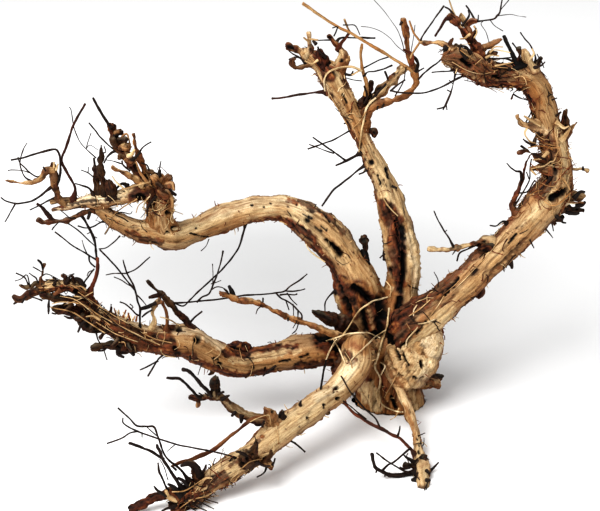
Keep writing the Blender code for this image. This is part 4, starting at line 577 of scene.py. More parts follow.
limbMarks["centreLimb"] = [
    ("bark", 3.5, 0.9, [(322, 86), (333, 104), (345, 124), (357, 146)]),
    ("bark", 2.5, 0.8, [(362, 160), (370, 180), (377, 200)]), ("bark", 7, 1, [(386, 206), (390, 214)]),
    ("bark", 9.5, 1, [(390, 216), (396, 232), (398, 250), (399, 266), (396, 286), (394, 300)]),
    ("dent", 8, 5, [(390, 214), (396, 232), (398, 250), (399, 266), (397, 284)]),
    ("rust", 1.4, 0.5, [(387, 224), (391, 240), (393, 258), (393, 275)]),
    ("hole", 1.5, 3, [(394, 222), (397, 240), (398, 262)]), ("hole", 3.4, 4, [(403, 229), (404, 238)]),
    ("hole", 3.4, 5, [(402, 256), (403, 272), (400, 292)]),
    ("ridge", 1.4, 1, [(379, 220), (384, 240), (387, 260), (388, 275)]),
    ("ridge", 2.2, 1.4, [(383, 197), (392, 203), (402, 213), (410, 228), (416, 250), (417, 275),
        (414, 290)]), ("ridge", 1.2, 2, [(407, 246), (410, 254), (412, 262), (411, 268)]),
    ("knot", 4.6, 2.2, [(371, 163)]), ("sand", 1.8, 0.9, [(371, 163)]),
    ("hole", 1.3, 2.5, [(343, 95), (345, 98), (347, 103)]), ("bark", 3, 0.9, [(342, 72), (347, 86)]),
    ("bark", 6, 1, [(317, 54), (322, 64), (330, 76)]), ("hole", 1.4, 2, [(386, 168), (389, 177)]),
    ("hole", 1.2, 2, [(377, 176), (380, 184)]), ("gold", 5, 0.6, [(350, 105), (357, 120), (363, 140)]),
    ("cream", 3, 0.5, [(408, 235), (414, 262), (414, 288)]),
    ("bark", 12, 1, [(390, 306), (400, 322), (402, 345)]), ("hole", 4, 5, [(400, 300), (396, 316)]),
    ("gold", 6, 0.9, [(386, 282), (391, 296), (391, 307)]), ("sand", 2, 0.7, [(386, 288), (392, 290)]),
]
limbMarks["rightLimb"] = [
    ("bark", 9, 1, [(390, 330), (400, 314), (412, 302), (424, 294)]),
    ("bark", 7, 0.9, [(400, 340), (416, 322), (432, 306), (450, 290)]),
    ("bark", 13, 1, [(384, 335), (392, 350), (398, 362)]),
    ("hole", 6, 6, [(386, 338), (390, 352), (394, 364)]),
    ("bark", 5, 0.85, [(427, 296), (450, 277), (474, 253), (498, 228), (512, 211), (524, 201)]),
    ("rust", 3, 0.6, [(452, 278), (476, 256), (500, 231), (514, 215)]),
    ("sand", 5, 0.9, [(410, 345), (424, 334), (438, 322), (452, 310)]),
    ("tan", 4, 0.7, [(420, 320), (440, 303), (456, 290)]),
    ("hole", 1.5, 3, [(458, 278), (452, 286), (445, 295)]), ("bark", 4, 1, [(475, 273)]),
    ("hole", 1.2, 3, [(416, 334), (426, 322)]), ("hole", 1.5, 3, [(404, 346), (412, 332)]),
    ("ridge", 1.6, 1.5, [(413, 320), (425, 308), (435, 300), (450, 288)]),
    ("bark", 2.2, 1, [(525, 239), (518, 248), (510, 256), (500, 264), (492, 272), (487, 282), (478, 290)]),
    ("dent", 2.5, 1.5, [(525, 239), (518, 248), (510, 256), (500, 264), (492, 272)]),
    ("hole", 1.1, 2, [(516, 234), (512, 239), (509, 243)]),
    ("tan", 7, 0.6, [(462, 296), (485, 275), (510, 250), (530, 228)]),
    ("gold", 3, 0.6, [(470, 300), (495, 277), (520, 254), (540, 232)]),
    ("hole", 3.8, 6, [(552, 198), (558, 195), (564, 191)]),
    ("ridge", 1.8, 1.6, [(544, 201), (551, 205), (560, 202), (568, 195)]),
    ("bark", 8, 0.85, [(543, 137), (549, 158), (549, 178), (538, 192)]), ("hole", 2, 3, [(541, 150)]),
    ("hole", 2, 3, [(553, 165), (555, 170)]), ("hole", 2.4, 3, [(546, 178)]),
    ("bark", 3, 0.8, [(553, 84), (558, 100), (561, 118)]),
    ("bark", 8, 0.75, [(450, 56), (468, 64), (488, 71), (506, 72)]),
    ("bark", 6, 1, [(482, 84), (505, 86), (522, 92), (530, 102)]),
    ("bark", 3, 0.8, [(531, 110), (536, 128)]), ("tan", 7, 0.6, [(541, 78), (548, 100), (550, 122)]),
    ("gold", 3, 0.6, [(520, 76), (530, 84), (538, 98)]), ("hole", 2.5, 4, [(462, 60), (470, 66)]),
    ("hole", 2, 3, [(492, 76), (500, 77)]), ("ridge", 1.6, 1.5, [(452, 64), (470, 73), (485, 82)]),
]
limbMarks["frontLimb"] = [
    ("gold", 9, 0.7, [(350, 341), (364, 346)]), ("rust", 3, 0.6, [(352, 344), (362, 350)]),
    ("bark", 7, 1, [(382, 346), (384, 362), (380, 378)]), ("hole", 4, 5, [(383, 350), (385, 364)]),
    ("bark", 4.5, 0.9, [(346, 353), (352, 361)]), ("cream", 6, 0.5, [(352, 366), (338, 386), (318, 398)]),
    ("hole", 2.2, 3.5, [(335, 387), (337, 387)]), ("hole", 2.1, 3.5, [(339, 399)]),
    ("hole", 1.1, 2, [(335, 391)]), ("hole", 1.5, 2, [(324, 405)]), ("hole", 1.2, 2, [(323.5, 408)]),
    ("hole", 1.2, 2, [(308, 418)]), ("hole", 1.4, 2.5, [(365, 389), (374, 382)]),
    ("sand", 5, 0.6, [(300, 412), (280, 427), (255, 447), (232, 463)]),
    ("bark", 14, 1, [(140, 505), (160, 505), (176, 500), (190, 494)]),
    ("hole", 4, 5, [(183, 506), (188, 506)]), ("bark", 7, 0.9, [(190, 500), (205, 486), (222, 478)]),
    ("hole", 3, 4, [(168, 500), (176, 504)]), ("sand", 3, 0.9, [(196, 485), (204, 487)]),
    ("bark", 5, 0.7, [(255, 458), (244, 464)]), ("bark", 1.5, 0.8, [(230, 466), (250, 449), (262, 436)]),
]
limbMarks["frontLeg"] = [
    ("bark", 2, 0.9, [(391, 372), (394, 380)]), ("hole", 1.4, 2, [(417, 437.5)]),
    ("hole", 1, 2, [(420, 444)]), ("hole", 1.4, 2, [(418.5, 450), (418.5, 453)]),
    ("bark", 2.5, 0.9, [(413, 465), (415, 476)]), ("gold", 2, 0.7, [(404, 405), (412, 425), (414, 445)]),
    ("umber", 5, 0.8, [(423, 489)]),
]
limbMarks["brainBurl"] = [
    ("tan", 10, 0.8, [(390, 350), (396, 366), (408, 382)]), ("sand", 8, 0.7, [(408, 350), (418, 368)]),
    ("gold", 2.5, 0.7, [(390, 348), (394, 362), (402, 376)]),
    ("gold", 2, 0.6, [(408, 346), (412, 358), (413, 370)]),
    ("hole", 1.1, 4, [(397, 349), (398, 354), (400, 359)]),
    ("hole", 1.1, 4, [(403, 354), (405, 359), (409, 365)]),
    ("ridge", 3, 2, [(391, 346), (394, 358), (401, 371), (410, 380)]),
    ("dent", 1.6, 2, [(388, 354), (393, 366), (401, 376)]),
    ("ridge", 3.2, 2, [(404, 345), (410, 356), (414, 368)]),
    ("dent", 1.5, 1.6, [(400, 346), (404, 358), (408, 371)]),
    ("hole", 2.2, 5, [(422.5, 361), (422.5, 366)]),
    ("ridge", 2.4, 2.5, [(426, 356), (431, 361), (430, 368)]),
    ("hole", 1.3, 3, [(413, 377.5), (416, 378.5)]), ("hole", 1.1, 3, [(420, 379), (424, 378)]),
    ("ridge", 2.6, 2, [(408, 384), (416, 387), (423, 384)]),
    ("ochre", 2, 0.8, [(386, 362), (391, 371), (397, 378), (404, 386)]),
]
limbMarks["brainBurlSide"] = [
    ("cream", 10, 0.6, [(428, 338), (436, 350)]), ("dent", 1.6, 1.6, [(419, 338), (424, 348), (423, 358)]),
    ("ridge", 3.4, 1.8, [(430, 332), (436, 342), (437, 352)]), ("tan", 3, 0.7, [(414, 338), (420, 350)]),
]
limbMarks["rightBurlLip"] = [
    ("hole", 2, 3, [(422, 362), (423, 367)]), ("ridge", 3, 1.5, [(431, 360), (432, 368)]),
]

# Marks on the thick stems of a group
stemMarks = {}
stemMarks["archHead"] = [
    ("bark", 5, 1, [(112, 127), (117, 140), (123, 149)]), ("hole", 1.7, 3, [(130.5, 155.5)]),
    ("hole", 1.6, 3, [(121, 146), (123, 151)]), ("hole", 2, 3, [(136, 165), (138, 169)]),
    ("bark", 3, 1, [(127, 164), (140, 174)]), ("sand", 2.5, 0.9, [(126, 151), (133, 160)]),
    ("hole", 2, 3, [(146, 177), (148, 181)]), ("tan", 3, 0.9, [(150, 176), (164, 182)]),
    ("hole", 2.4, 3, [(157, 187), (160, 193)]), ("hole", 2, 3, [(166, 190)]), ("hole", 2, 3, [(144, 192)]),
    ("ridge", 1.6, 1.2, [(119, 134), (125, 138)]), ("hole", 1.5, 3, [(118, 139)]),
    ("bark", 4, 1, [(132, 196), (144, 204)]),
]
stemMarks["frontBranch"] = [
    ("bark", 3.5, 1, [(192, 399), (206, 400), (213, 403)]),
    ("bark", 3, 1, [(216, 409), (228, 417), (245, 423), (262, 426)]),
    ("sand", 2, 0.8, [(212, 395), (221, 399), (233, 410), (252, 415)]), ("hole", 2, 3, [(272, 411)]),
    ("bark", 9, 1, [(132, 509), (150, 501), (168, 496)]), ("hole", 2, 3, [(247, 459)]),
    ("hole", 1.6, 3, [(252, 455)]), ("hole", 2, 3, [(243, 463)]), ("hole", 2, 3, [(262, 458)]),
]
stemMarks["lowHead"] = [
    ("bark", 7, 1, [(100, 320), (84, 316), (64, 310)]), ("hole", 2.4, 3, [(84, 309)]),
    ("hole", 2, 3, [(92, 322)]), ("bark", 4, 1, [(66, 287), (56, 289), (44, 291)]),
    ("hole", 2, 3, [(116, 346)]), ("hole", 2, 3, [(126, 344)]),
]
stemMarks["rightBranch"] = [
    ("hole", 2, 3, [(576, 196)]), ("hole", 2, 3, [(578, 209)]),
    ("bark", 4, 1, [(474, 244), (484, 247), (490, 250)]), ("hole", 2, 3, [(479, 246)]),
    ("hole", 1.6, 3, [(565, 118)]), ("hole", 1.6, 3, [(566, 126)]), ("hole", 2, 3, [(484, 241)]),
]
stemMarks["centreHead"] = [
    ("bark", 7, 1, [(316, 52), (322, 62), (330, 74)]), ("sand", 4, 0.8, [(306, 54), (311, 60)]),
    ("sand", 4, 0.8, [(336, 60), (340, 52)]), ("bark", 4, 1, [(289, 47), (296, 49)]),
    ("hole", 2.2, 3, [(289, 47), (292, 48)]), ("hole", 2, 3, [(329, 37), (330, 38)]),
    ("hole", 2, 3, [(342, 60)]), ("bark", 4, 0.8, [(332, 46), (326, 40)]),
]
stemMarks["centreBranch"] = [
    ("bark", 4, 1, [(365, 98), (370, 90), (380, 82), (390, 76)]),
    ("sand", 3, 0.7, [(384, 88), (396, 78), (404, 69)]), ("hole", 2, 3, [(374, 133)]),
    ("hole", 1.6, 3, [(371, 136)]), ("ochre", 4, 0.6, [(366, 114), (390, 103), (412, 92)]),
    ("hole", 2, 3, [(366, 101), (370, 95)]), ("hole", 1.6, 3, [(374, 92), (380, 87)]),
]
stemMarks["rightHead"] = [
    ("bark", 8, 0.8, [(480, 60), (474, 46), (464, 32), (455, 20)]),
    ("sand", 3, 0.8, [(462, 14), (464, 26)]), ("sand", 4, 0.8, [(527, 56), (533, 68)]),
]

# Roots laid on the wood, from their starts: colours, how far they arch off it, and (across, down, radius)
laidRoots = {}
laidRoots["stump"] = [
    (pale, 3, [(388, 297, 1), (381, 299, 1.1), (373, 301, 1.1), (365, 306, 1.2), (358, 312, 1.2),
        (350, 325, 1.1), (342, 336, 1.1), (332, 347, 1.1), (326, 360, 1)]),
    (dark, 0, [(326, 360, 1), (323, 375, 1), (322, 383, 1.1), (320.5, 389, 1.2)]),
    (pale, 2, [(389, 308, 1.3), (388, 318, 1.2), (387, 325, 1.2), (382, 341, 1.3), (378, 356, 1.3),
        (375, 367, 1.2), (380, 377, 1.2), (380, 384, 1.2), (378.5, 391, 1)]),
    (pale, 1, [(378, 389, 1), (374, 398, 0.9), (371, 408, 0.8)]),
    (pale, 1, [(379, 390, 1), (380, 400, 0.9), (384, 406, 0.9), (395, 411, 0.9), (403, 412, 0.8)]),
    (pale, 2, [(326, 341, 0.9), (333, 339, 1), (348, 334, 1), (367, 333, 1), (376, 336, 0.9),
        (380, 338, 0.8)]),
    (pale, 2, [(386, 330, 0.9), (375, 337, 0.9), (366, 346, 0.9), (354, 357, 0.8), (350, 362, 0.6)]),
    (pale, 1, [(333, 338, 1.1), (339, 349, 1.1), (344, 361, 1), (346, 365, 0.8)]),
    (pale, 1, [(330, 351, 0.6), (333, 344, 0.7), (337, 339, 0.7)]),
    (dark, 3, [(341, 376, 0.9), (351, 393, 0.8), (363, 407, 0.8), (375, 418, 0.9), (380, 427, 0.8)]),
    (pale, 1, [(417, 305, 0.8), (414, 310, 0.8), (413.5, 316, 0.7)]),
    (pale, 1, [(435, 319, 0.8), (425, 323, 0.8), (418, 324, 0.7)]),
    (pale, 1, [(418, 327, 0.8), (413, 333, 0.9), (407, 340, 0.8), (406, 346, 0.7)]),
    (pale, 1, [(380, 362, 0.8), (385, 366, 0.8), (383, 371, 0.8), (381, 375, 0.7)]),
    (dusty, 1, [(386, 281, 0.7), (391, 288, 0.7), (390, 297, 0.7)]),
    (dusty, 1, [(430, 300, 0.6), (420, 309, 0.6), (409, 316, 0.6)]),
    (dusty, 1, [(398, 372, 0.6), (392, 384, 0.6), (384, 398, 0.6)]),
    (dusty, 0, [(444, 296, 0.6), (438, 306, 0.6), (430, 316, 0.6)]),
]
laidRoots["arch"] = [
    (pale, 1, [(150, 196, 0.9), (145, 202, 0.9), (143, 210, 0.8)]),
    (pale, 1, [(306, 244, 1), (309, 250, 1), (316, 256, 1), (325, 262, 0.8)]),
    (dark, 1, [(209, 239, 0.6), (206, 246, 0.5), (201, 251, 0.5)]),
    (dusty, 2, [(110, 218, 0.6), (122, 208, 0.7), (137, 199, 0.7)]),
    (dusty, 1, [(113, 218, 0.6), (109, 227, 0.5), (105, 234, 0.5)]),
    (dusty, 2, [(136, 213, 0.6), (139, 205, 0.6), (148, 199, 0.6)]),
    (dusty, 2, [(120, 190, 0.6), (134, 186, 0.7), (150, 182, 0.6)]),
]
laidRoots["low"] = [
    (dusty, 1, [(93, 292, 0.9), (80, 299, 0.8), (64, 305, 0.7)]),
    (dusty, 1, [(52, 304, 0.8), (62, 302, 0.9), (84, 305, 0.9), (100, 317, 0.9), (110, 325, 0.8)]),
    (dusty, 1, [(50, 307, 0.8), (72, 312, 0.9), (88, 322, 0.9), (105, 333, 0.8)]),
    (dusty, 1, [(104, 312, 0.7), (120, 326, 0.7), (140, 336, 0.7), (160, 345, 0.6)]),
    (dusty, 2, [(142, 333, 0.8), (155, 339, 0.8), (172, 343, 0.8)]),
    (dusty, 1, [(78, 292, 0.7), (96, 304, 0.7), (118, 318, 0.7), (142, 330, 0.6)]),
    (dusty, 2, [(88, 308, 0.7), (108, 320, 0.7), (132, 332, 0.7), (156, 344, 0.6)]),
    (dusty, 1, [(96, 322, 0.7), (116, 334, 0.7), (138, 342, 0.6)]),
    (dusty, 2, [(60, 296, 0.7), (76, 300, 0.7), (94, 314, 0.6)]),
    (dark, 1, [(112, 322, 0.7), (134, 335, 0.7), (158, 348, 0.6)]),
    (dark, 2, [(66, 290, 0.7), (84, 298, 0.7), (100, 314, 0.6)]),
    (dusty, 2, [(160, 317, 0.9), (168, 319, 0.9), (180, 326, 0.8)]),
    (pale, 1, [(116, 310, 0.7), (119, 317, 0.7)]), (pale, 1, [(123, 312, 0.7), (126, 319, 0.7)]),
    (pale, 1, [(130, 314, 0.7), (132, 321, 0.7)]),
]
laidRoots["centre"] = [
    (pale, 1, [(376, 98, 1.3), (370, 103, 1.3), (366, 109, 1.2), (363, 124, 1), (361.5, 132, 1),
        (359, 152, 0.8)]),
    (pale, 2, [(325, 91, 1), (324, 84, 1), (325, 77, 1), (329, 72, 1), (342, 67.5, 1), (356, 68, 1),
        (362, 71, 1.1)]), (dusty, 0, [(330, 95, 0.6), (340, 112, 0.6), (350, 130, 0.6)]),
    (dusty, 1, [(353, 128, 0.7), (360, 121, 0.7), (366, 112, 0.6)]),
    (pale, 1, [(383, 198, 0.8), (388, 206, 0.8), (398, 216, 0.7)]),
]
laidRoots["right"] = [
    (dusty, 2, [(531, 169, 1.3), (537, 167.5, 1.4), (544, 166, 1.3), (550, 162, 1.3), (554, 161, 1.4),
        (556, 155, 1), (559, 150, 0.8)]),
    (golden, 1, [(528, 148, 1), (537, 146, 1.1), (546, 147, 1.1), (553, 150, 1)]),
    (dark, 2, [(533, 154, 1.6), (540, 157, 1.7), (546, 160, 1.4)]),
    (("rust", "gold"), 1, [(569, 168, 0.9), (563, 174, 0.9), (554, 185, 0.8)]),
    (warm, 1, [(584, 203, 1.1), (570, 202.5, 1.1), (560, 202, 1)]),
    (dusty, 1, [(533, 131, 0.8), (541, 138, 0.8), (549, 140, 0.7)]),
    (golden, 1, [(536, 137, 0.7), (545, 143, 0.7), (556, 146, 0.7)]),
    (("rust", "gold"), 1, [(530, 163, 0.7), (540, 172, 0.7), (552, 176, 0.7)]),
    (warm, 1, [(537, 180, 0.8), (548, 186, 0.8), (560, 186, 0.7)]),
    (dusty, 1, [(452, 62, 0.7), (466, 70, 0.7), (482, 74, 0.7), (498, 70, 0.6)]),
    (golden, 1, [(460, 50, 0.7), (474, 60, 0.7), (490, 66, 0.7), (508, 68, 0.6)]),
    (("rust", "gold"), 2, [(505, 74, 0.8), (511, 76, 0.7), (520, 82, 0.7), (529, 82, 0.6)]),
    (warm, 0, [(436, 300, 0.6), (456, 284, 0.6), (474, 264, 0.6)]),
    (dusty, 0, [(452, 292, 0.6), (470, 274, 0.6), (492, 250, 0.6), (506, 232, 0.6)]),
    (golden, 1, [(544, 201, 1.1), (551, 205.5, 1.2), (560, 203, 1.2), (568, 195, 1.1), (577, 189, 0.9)]),
]
laidRoots["front"] = [
    (dusty, 1, [(250, 422, 0.7), (258, 418, 0.7), (268, 415, 0.7), (270, 419, 0.7), (270.5, 425, 0.6)]),
    (dusty, 1, [(345, 352, 0.6), (350, 360, 0.6), (352, 368, 0.6)]),
    (dusty, 1, [(172, 492, 0.8), (186, 490, 0.8), (202, 480, 0.7)]),
    (dusty, 1, [(180, 508, 0.8), (192, 500, 0.8), (208, 496, 0.7)]),
    (dusty, 1, [(240, 470, 0.7), (250, 462, 0.7), (262, 459, 0.7)]),
]

# Fine twigs from root to tip: colours, lean (how far back the tip is), and (across, down, radius)
fineTwigs = {}
fineTwigs["archFine"] = [
    (dark, 8, [(96, 158, 0.8), (86, 149, 0.6), (80, 142, 0.6), (75, 131, 0.5), (73, 123, 0.5),
        (71, 110, 0.5), (69, 107, 0.5)]), (dark, 2, [(86, 149, 0.5), (88, 142, 0.5), (91, 133, 0.4)]),
    (dark, 2, [(86, 149, 0.5), (90, 145, 0.4), (98, 150, 0.4)]),
    (dark, -4, [(97, 181, 0.7), (93, 177, 0.6), (88, 173, 0.5), (81, 170, 0.5)]),
    (dark, 0, [(88, 173, 0.5), (88.5, 167, 0.4)]),
    (dark, 2, [(103, 153, 1), (106, 152, 0.6), (104, 146, 0.5)]),
    (dark, 3, [(60, 221, 0.8), (54, 227, 0.7), (52, 230, 0.6)]),
    (dark, -5, [(90, 212, 1.5), (88, 219, 1.2)]),
    (dark, -4, [(75, 218, 0.8), (70, 218, 0.6), (65, 214, 0.5), (60, 210, 0.5)]),
    (dark, -1, [(91, 232, 0.7), (87, 234, 0.5)]), (dark, 1, [(93, 236, 0.7), (97, 238, 0.5)]),
    (dark, 2, [(87, 254, 0.6), (84, 247, 0.5), (82, 240, 0.4)]),
    (dark, 6, [(120, 236, 0.8), (113, 243, 0.6), (106, 248, 0.6), (99, 249, 0.6)]),
    (dark, -5, [(122, 164, 0.8), (113, 161, 0.5), (106, 160, 0.5)]),
    (dark, -4, [(130, 171, 1), (123, 165, 0.9), (122, 161, 0.8)]),
    (warm, -4, [(120, 141, 1.3), (121, 138, 1.2), (124, 135, 1), (127, 134, 0.9), (129, 140, 0.9),
        (130, 146, 0.9)]), (dark, -3, [(149, 170, 1), (147, 165, 0.7), (141, 163, 0.6)]),
    (dark, 2, [(159, 171, 0.8), (161, 161, 0.4)]), (dark, 0, [(172, 186, 0.8), (172.5, 177, 0.5)]),
    (dark, -2, [(46, 171, 1.4), (43, 167, 0.8)]), (dusty, -2, [(54, 168, 1.4), (54, 162, 0.9)]),
    (dusty, -2, [(56, 170, 1.3), (58, 164, 0.8)]),
    (dark, 2, [(30, 173, 0.6), (22, 170.5, 0.5), (12, 170, 0.6), (8, 170.5, 0.5)]),
    (dusty, -3, [(141, 186, 2.8), (142, 184, 2.4)]),
    (dark, -4, [(128, 186, 2.2), (122, 184, 1.6), (116, 189, 1)]),
    (warm, -5, [(150, 188, 2.4), (146, 180, 1.8), (140, 172, 1.3), (136, 162, 0.9)]),
    (dark, 3, [(152, 180, 2.4), (158, 176, 1.8), (160, 170, 1.1)]),
    (dark, 3, [(164, 188, 2.6), (171, 192, 2), (176, 195, 1.4)]),
    (warm, -3, [(166, 192, 2.4), (172, 200, 1.8), (172, 208, 1.2)]),
    (dark, -3, [(156, 196, 1.6), (148, 206, 1.2), (147, 216, 0.9)]),
    (pale, -4, [(128, 192, 1.2), (118, 184, 0.9), (112, 176, 0.7)]),
    (dusty, -4, [(119, 148, 2.6), (124, 144, 1.8), (128, 138, 1.2)]),
    (dark, -3, [(114, 136, 2.2), (120, 133, 1.5), (123, 131, 1)]),
    (dark, 2, [(112, 128, 2.4), (108, 124, 1.6), (107, 121, 1)]),
    (peeling, -3, [(116, 133, 4), (121, 131, 3)]), (warm, -4, [(122, 146, 5), (128, 148, 4)]),
    (warm, -3, [(127, 158, 5), (133, 163, 3.6)]),
    (("umber", "ochre"), -3, [(117, 144, 4), (113, 139, 2.6)]),
    (peeling, -4, [(124, 156, 4.4), (119, 157, 3)]), (charred, -5, [(119, 140, 3.4), (126, 140, 2.6)]),
    (warm, -5, [(158, 182, 5), (153, 177, 3.2)]), (flaking, -5, [(164, 183, 4.6), (169, 177, 3)]),
    (warm, -6, [(160, 192, 5), (167, 195, 3.8)]),
    (("umber", "ochre"), -5, [(152, 190, 4), (147, 186, 2.6)]),
    (dark, -8, [(158, 184, 2.8), (163, 189, 2.2)]),
    (("gold", "sand"), -6, [(166, 186, 3), (172, 184, 2.4), (174, 190, 1.8)]),
    (dark, -4, [(132, 160, 2), (137, 156, 1.4), (140, 152, 0.9)]),
    (dusty, -5, [(128, 156, 2.4), (132, 154, 1.9), (134, 150, 1.2)]),
]
fineTwigs["netFine"] = [
    (dark, 0, [(212.5, 289, 0.6), (213, 276, 0.5), (212.5, 264, 0.5)]),
    (dark, 0, [(211, 284, 0.6), (216, 282.5, 0.5), (221, 280.5, 0.5)]),
    (dark, 0, [(211, 290, 0.8), (216, 287, 0.7), (221, 287, 0.7), (225, 289, 0.6), (228, 292, 0.6)]),
    (dark, 2, [(285, 291, 0.9), (292, 291.5, 0.7), (300, 290.5, 0.6), (305, 289, 0.6)]),
    (dark, -2, [(280, 295, 0.9), (286, 294.5, 0.8), (294, 295, 0.8), (297, 294, 1)]),
    (dark, 2, [(287, 293, 0.8), (292, 300, 0.6), (297, 305, 0.6)]),
    (dark, 0, [(293, 304, 0.7), (293.5, 310, 0.5), (293.5, 317, 0.4)]),
    (dark, 0, [(286, 301, 0.6), (289, 310, 0.5)]), (dark, 0, [(298, 311, 0.7), (298, 319, 0.5)]),
    (dark, 2, [(297, 321, 0.6), (293, 328, 0.5)]),
    (dark, 2, [(299, 322, 0.7), (296, 330, 0.6), (292, 334, 0.5)]),
    (dark, 4, [(127, 273.5, 0.7), (114, 273.5, 0.6), (106, 275, 0.5)]),
    (dark, 4, [(133, 287, 0.7), (127, 284, 0.6), (121, 280, 0.5), (114, 277, 0.5)]),
    (dark, -4, [(136, 294, 0.7), (141, 299, 0.6), (146, 305, 0.6)]),
    (dark, -3, [(140, 316, 0.9), (136, 314, 0.8), (131, 309, 0.7), (125, 304, 0.7), (120, 302, 0.7)]),
    (dark, 0, [(131, 309, 0.6), (133, 307, 0.5), (130, 304, 0.5)]),
    (dark, 0, [(229, 294, 1), (224, 289, 0.7)]), (dark, 0, [(263, 302, 1.1), (263, 298, 0.8)]),
    (dark, 0, [(288, 318, 1.1), (288, 321, 0.8)]),
    (dark, 1, [(262, 306, 0.8), (258, 309, 0.6), (256, 314, 0.5)]),
]
fineTwigs["lowFine"] = [
    (dark, 2, [(38, 283, 0.9), (36, 278, 0.8), (33, 276, 0.7), (29, 273, 0.6)]),
    (dark, 3, [(30, 287, 0.8), (27, 275, 0.6), (21, 279, 0.5), (15, 281, 0.5)]),
    (dark, -4, [(30, 291, 0.9), (30, 296, 0.8), (36, 298, 0.9), (42, 300.5, 1)]),
    (dark, -3, [(42, 272, 0.7), (40, 271, 0.6), (33, 267, 0.5)]),
    (dark, 3, [(42, 276, 0.7), (46, 274, 0.6), (52, 276, 0.5), (58, 279, 0.5)]),
    (dark, 0, [(94, 270, 0.6), (89, 272, 0.5), (87, 276, 0.4)]),
    (dark, -3, [(84, 287, 2.8), (80, 281, 2.2), (75, 278, 1.3)]),
    (dark, -2, [(96, 312, 0.8), (102, 305, 0.6)]),
    (dark, 3, [(96, 332, 0.9), (98, 340, 0.7), (101, 344, 0.6)]),
    (dark, 3, [(103, 346, 0.9), (104, 351, 0.7), (107, 360, 0.6)]),
    (russet, -2, [(116, 314, 1.1), (114, 308, 0.5)]), (dusty, -2, [(119, 314, 1), (118.5, 310, 0.5)]),
    (russet, -2, [(123, 317, 1.3), (126, 310, 0.6)]), (dusty, -2, [(127, 318, 1), (129, 313, 0.5)]),
    (russet, -2, [(130, 320, 1.2), (128, 313, 0.6)]), (dusty, -2, [(133, 320, 0.9), (135, 316, 0.5)]),
    (russet, -2, [(136, 321, 1.2), (137, 316, 0.8)]),
    (dark, -3, [(142, 317, 1), (147, 313, 0.9), (152, 310, 0.8)]),
    (dark, 0, [(160, 298, 1), (165, 294, 0.7)]), (dark, 2, [(202, 363, 0.6), (198, 375, 0.4)]),
    (dark, -6, [(276, 366, 1), (270, 370, 0.9), (263, 376, 0.7)]),
    (dark, 1, [(158, 361, 1), (149, 366, 0.9), (140, 370, 0.7)]),
    (dark, 1, [(190, 356, 1.2), (190, 360, 0.9)]),
    (dusty, -3, [(100, 320, 1.2), (92, 316, 0.9), (80, 318, 0.6)]),
    (dusty, -3, [(92, 304, 1), (84, 298, 0.8), (74, 296, 0.6)]),
    (dark, -4, [(88, 318, 1.8), (82, 324, 1.5), (78, 332, 1)]),
    (dark, -4, [(78, 314, 1.6), (70, 318, 1.2), (64, 316, 0.8)]),
    (dark, -4, [(120, 348, 2.6), (118, 354, 2), (124, 357, 1.2)]),
    (dark, -4, [(130, 350, 2.2), (134, 355, 1.5)]),
    (dark, -3, [(108, 346, 1.8), (104, 350, 1.2), (98, 351, 0.8)]),
    (dark, -3, [(54, 285, 1.6), (56, 280, 1.1), (53, 277, 0.7)]),
    (dark, -3, [(66, 283, 1.8), (70, 276, 1.2), (74, 274, 0.8)]),
    (dusty, -2, [(86, 290, 1.2), (80, 286, 0.9), (74, 288, 0.6)]),
    (dark, -3, [(60, 309, 1.5), (56, 314, 1), (52, 313, 0.7)]), (dark, 2, [(20, 299, 1.6), (14, 304, 1)]),
    (dark, -3, [(26, 296, 1.4), (22, 303, 1)]), (dark, -5, [(86, 306, 3.4), (78, 303, 2.4)]),
    (charred, -5, [(84, 316, 3.2), (76, 319, 2.2)]), (dark, -5, [(95, 322, 3), (90, 330, 2)]),
    (charred, -5, [(106, 330, 3.2), (101, 338, 2.2)]), (dark, -5, [(72, 304, 3), (66, 310, 2)]),
    (charred, -6, [(118, 340, 3.2), (112, 346, 2.4)]), (dark, -6, [(128, 344, 3), (132, 351, 2)]),
    (flaking, -4, [(60, 290, 2.4), (54, 295, 1.6)]),
]
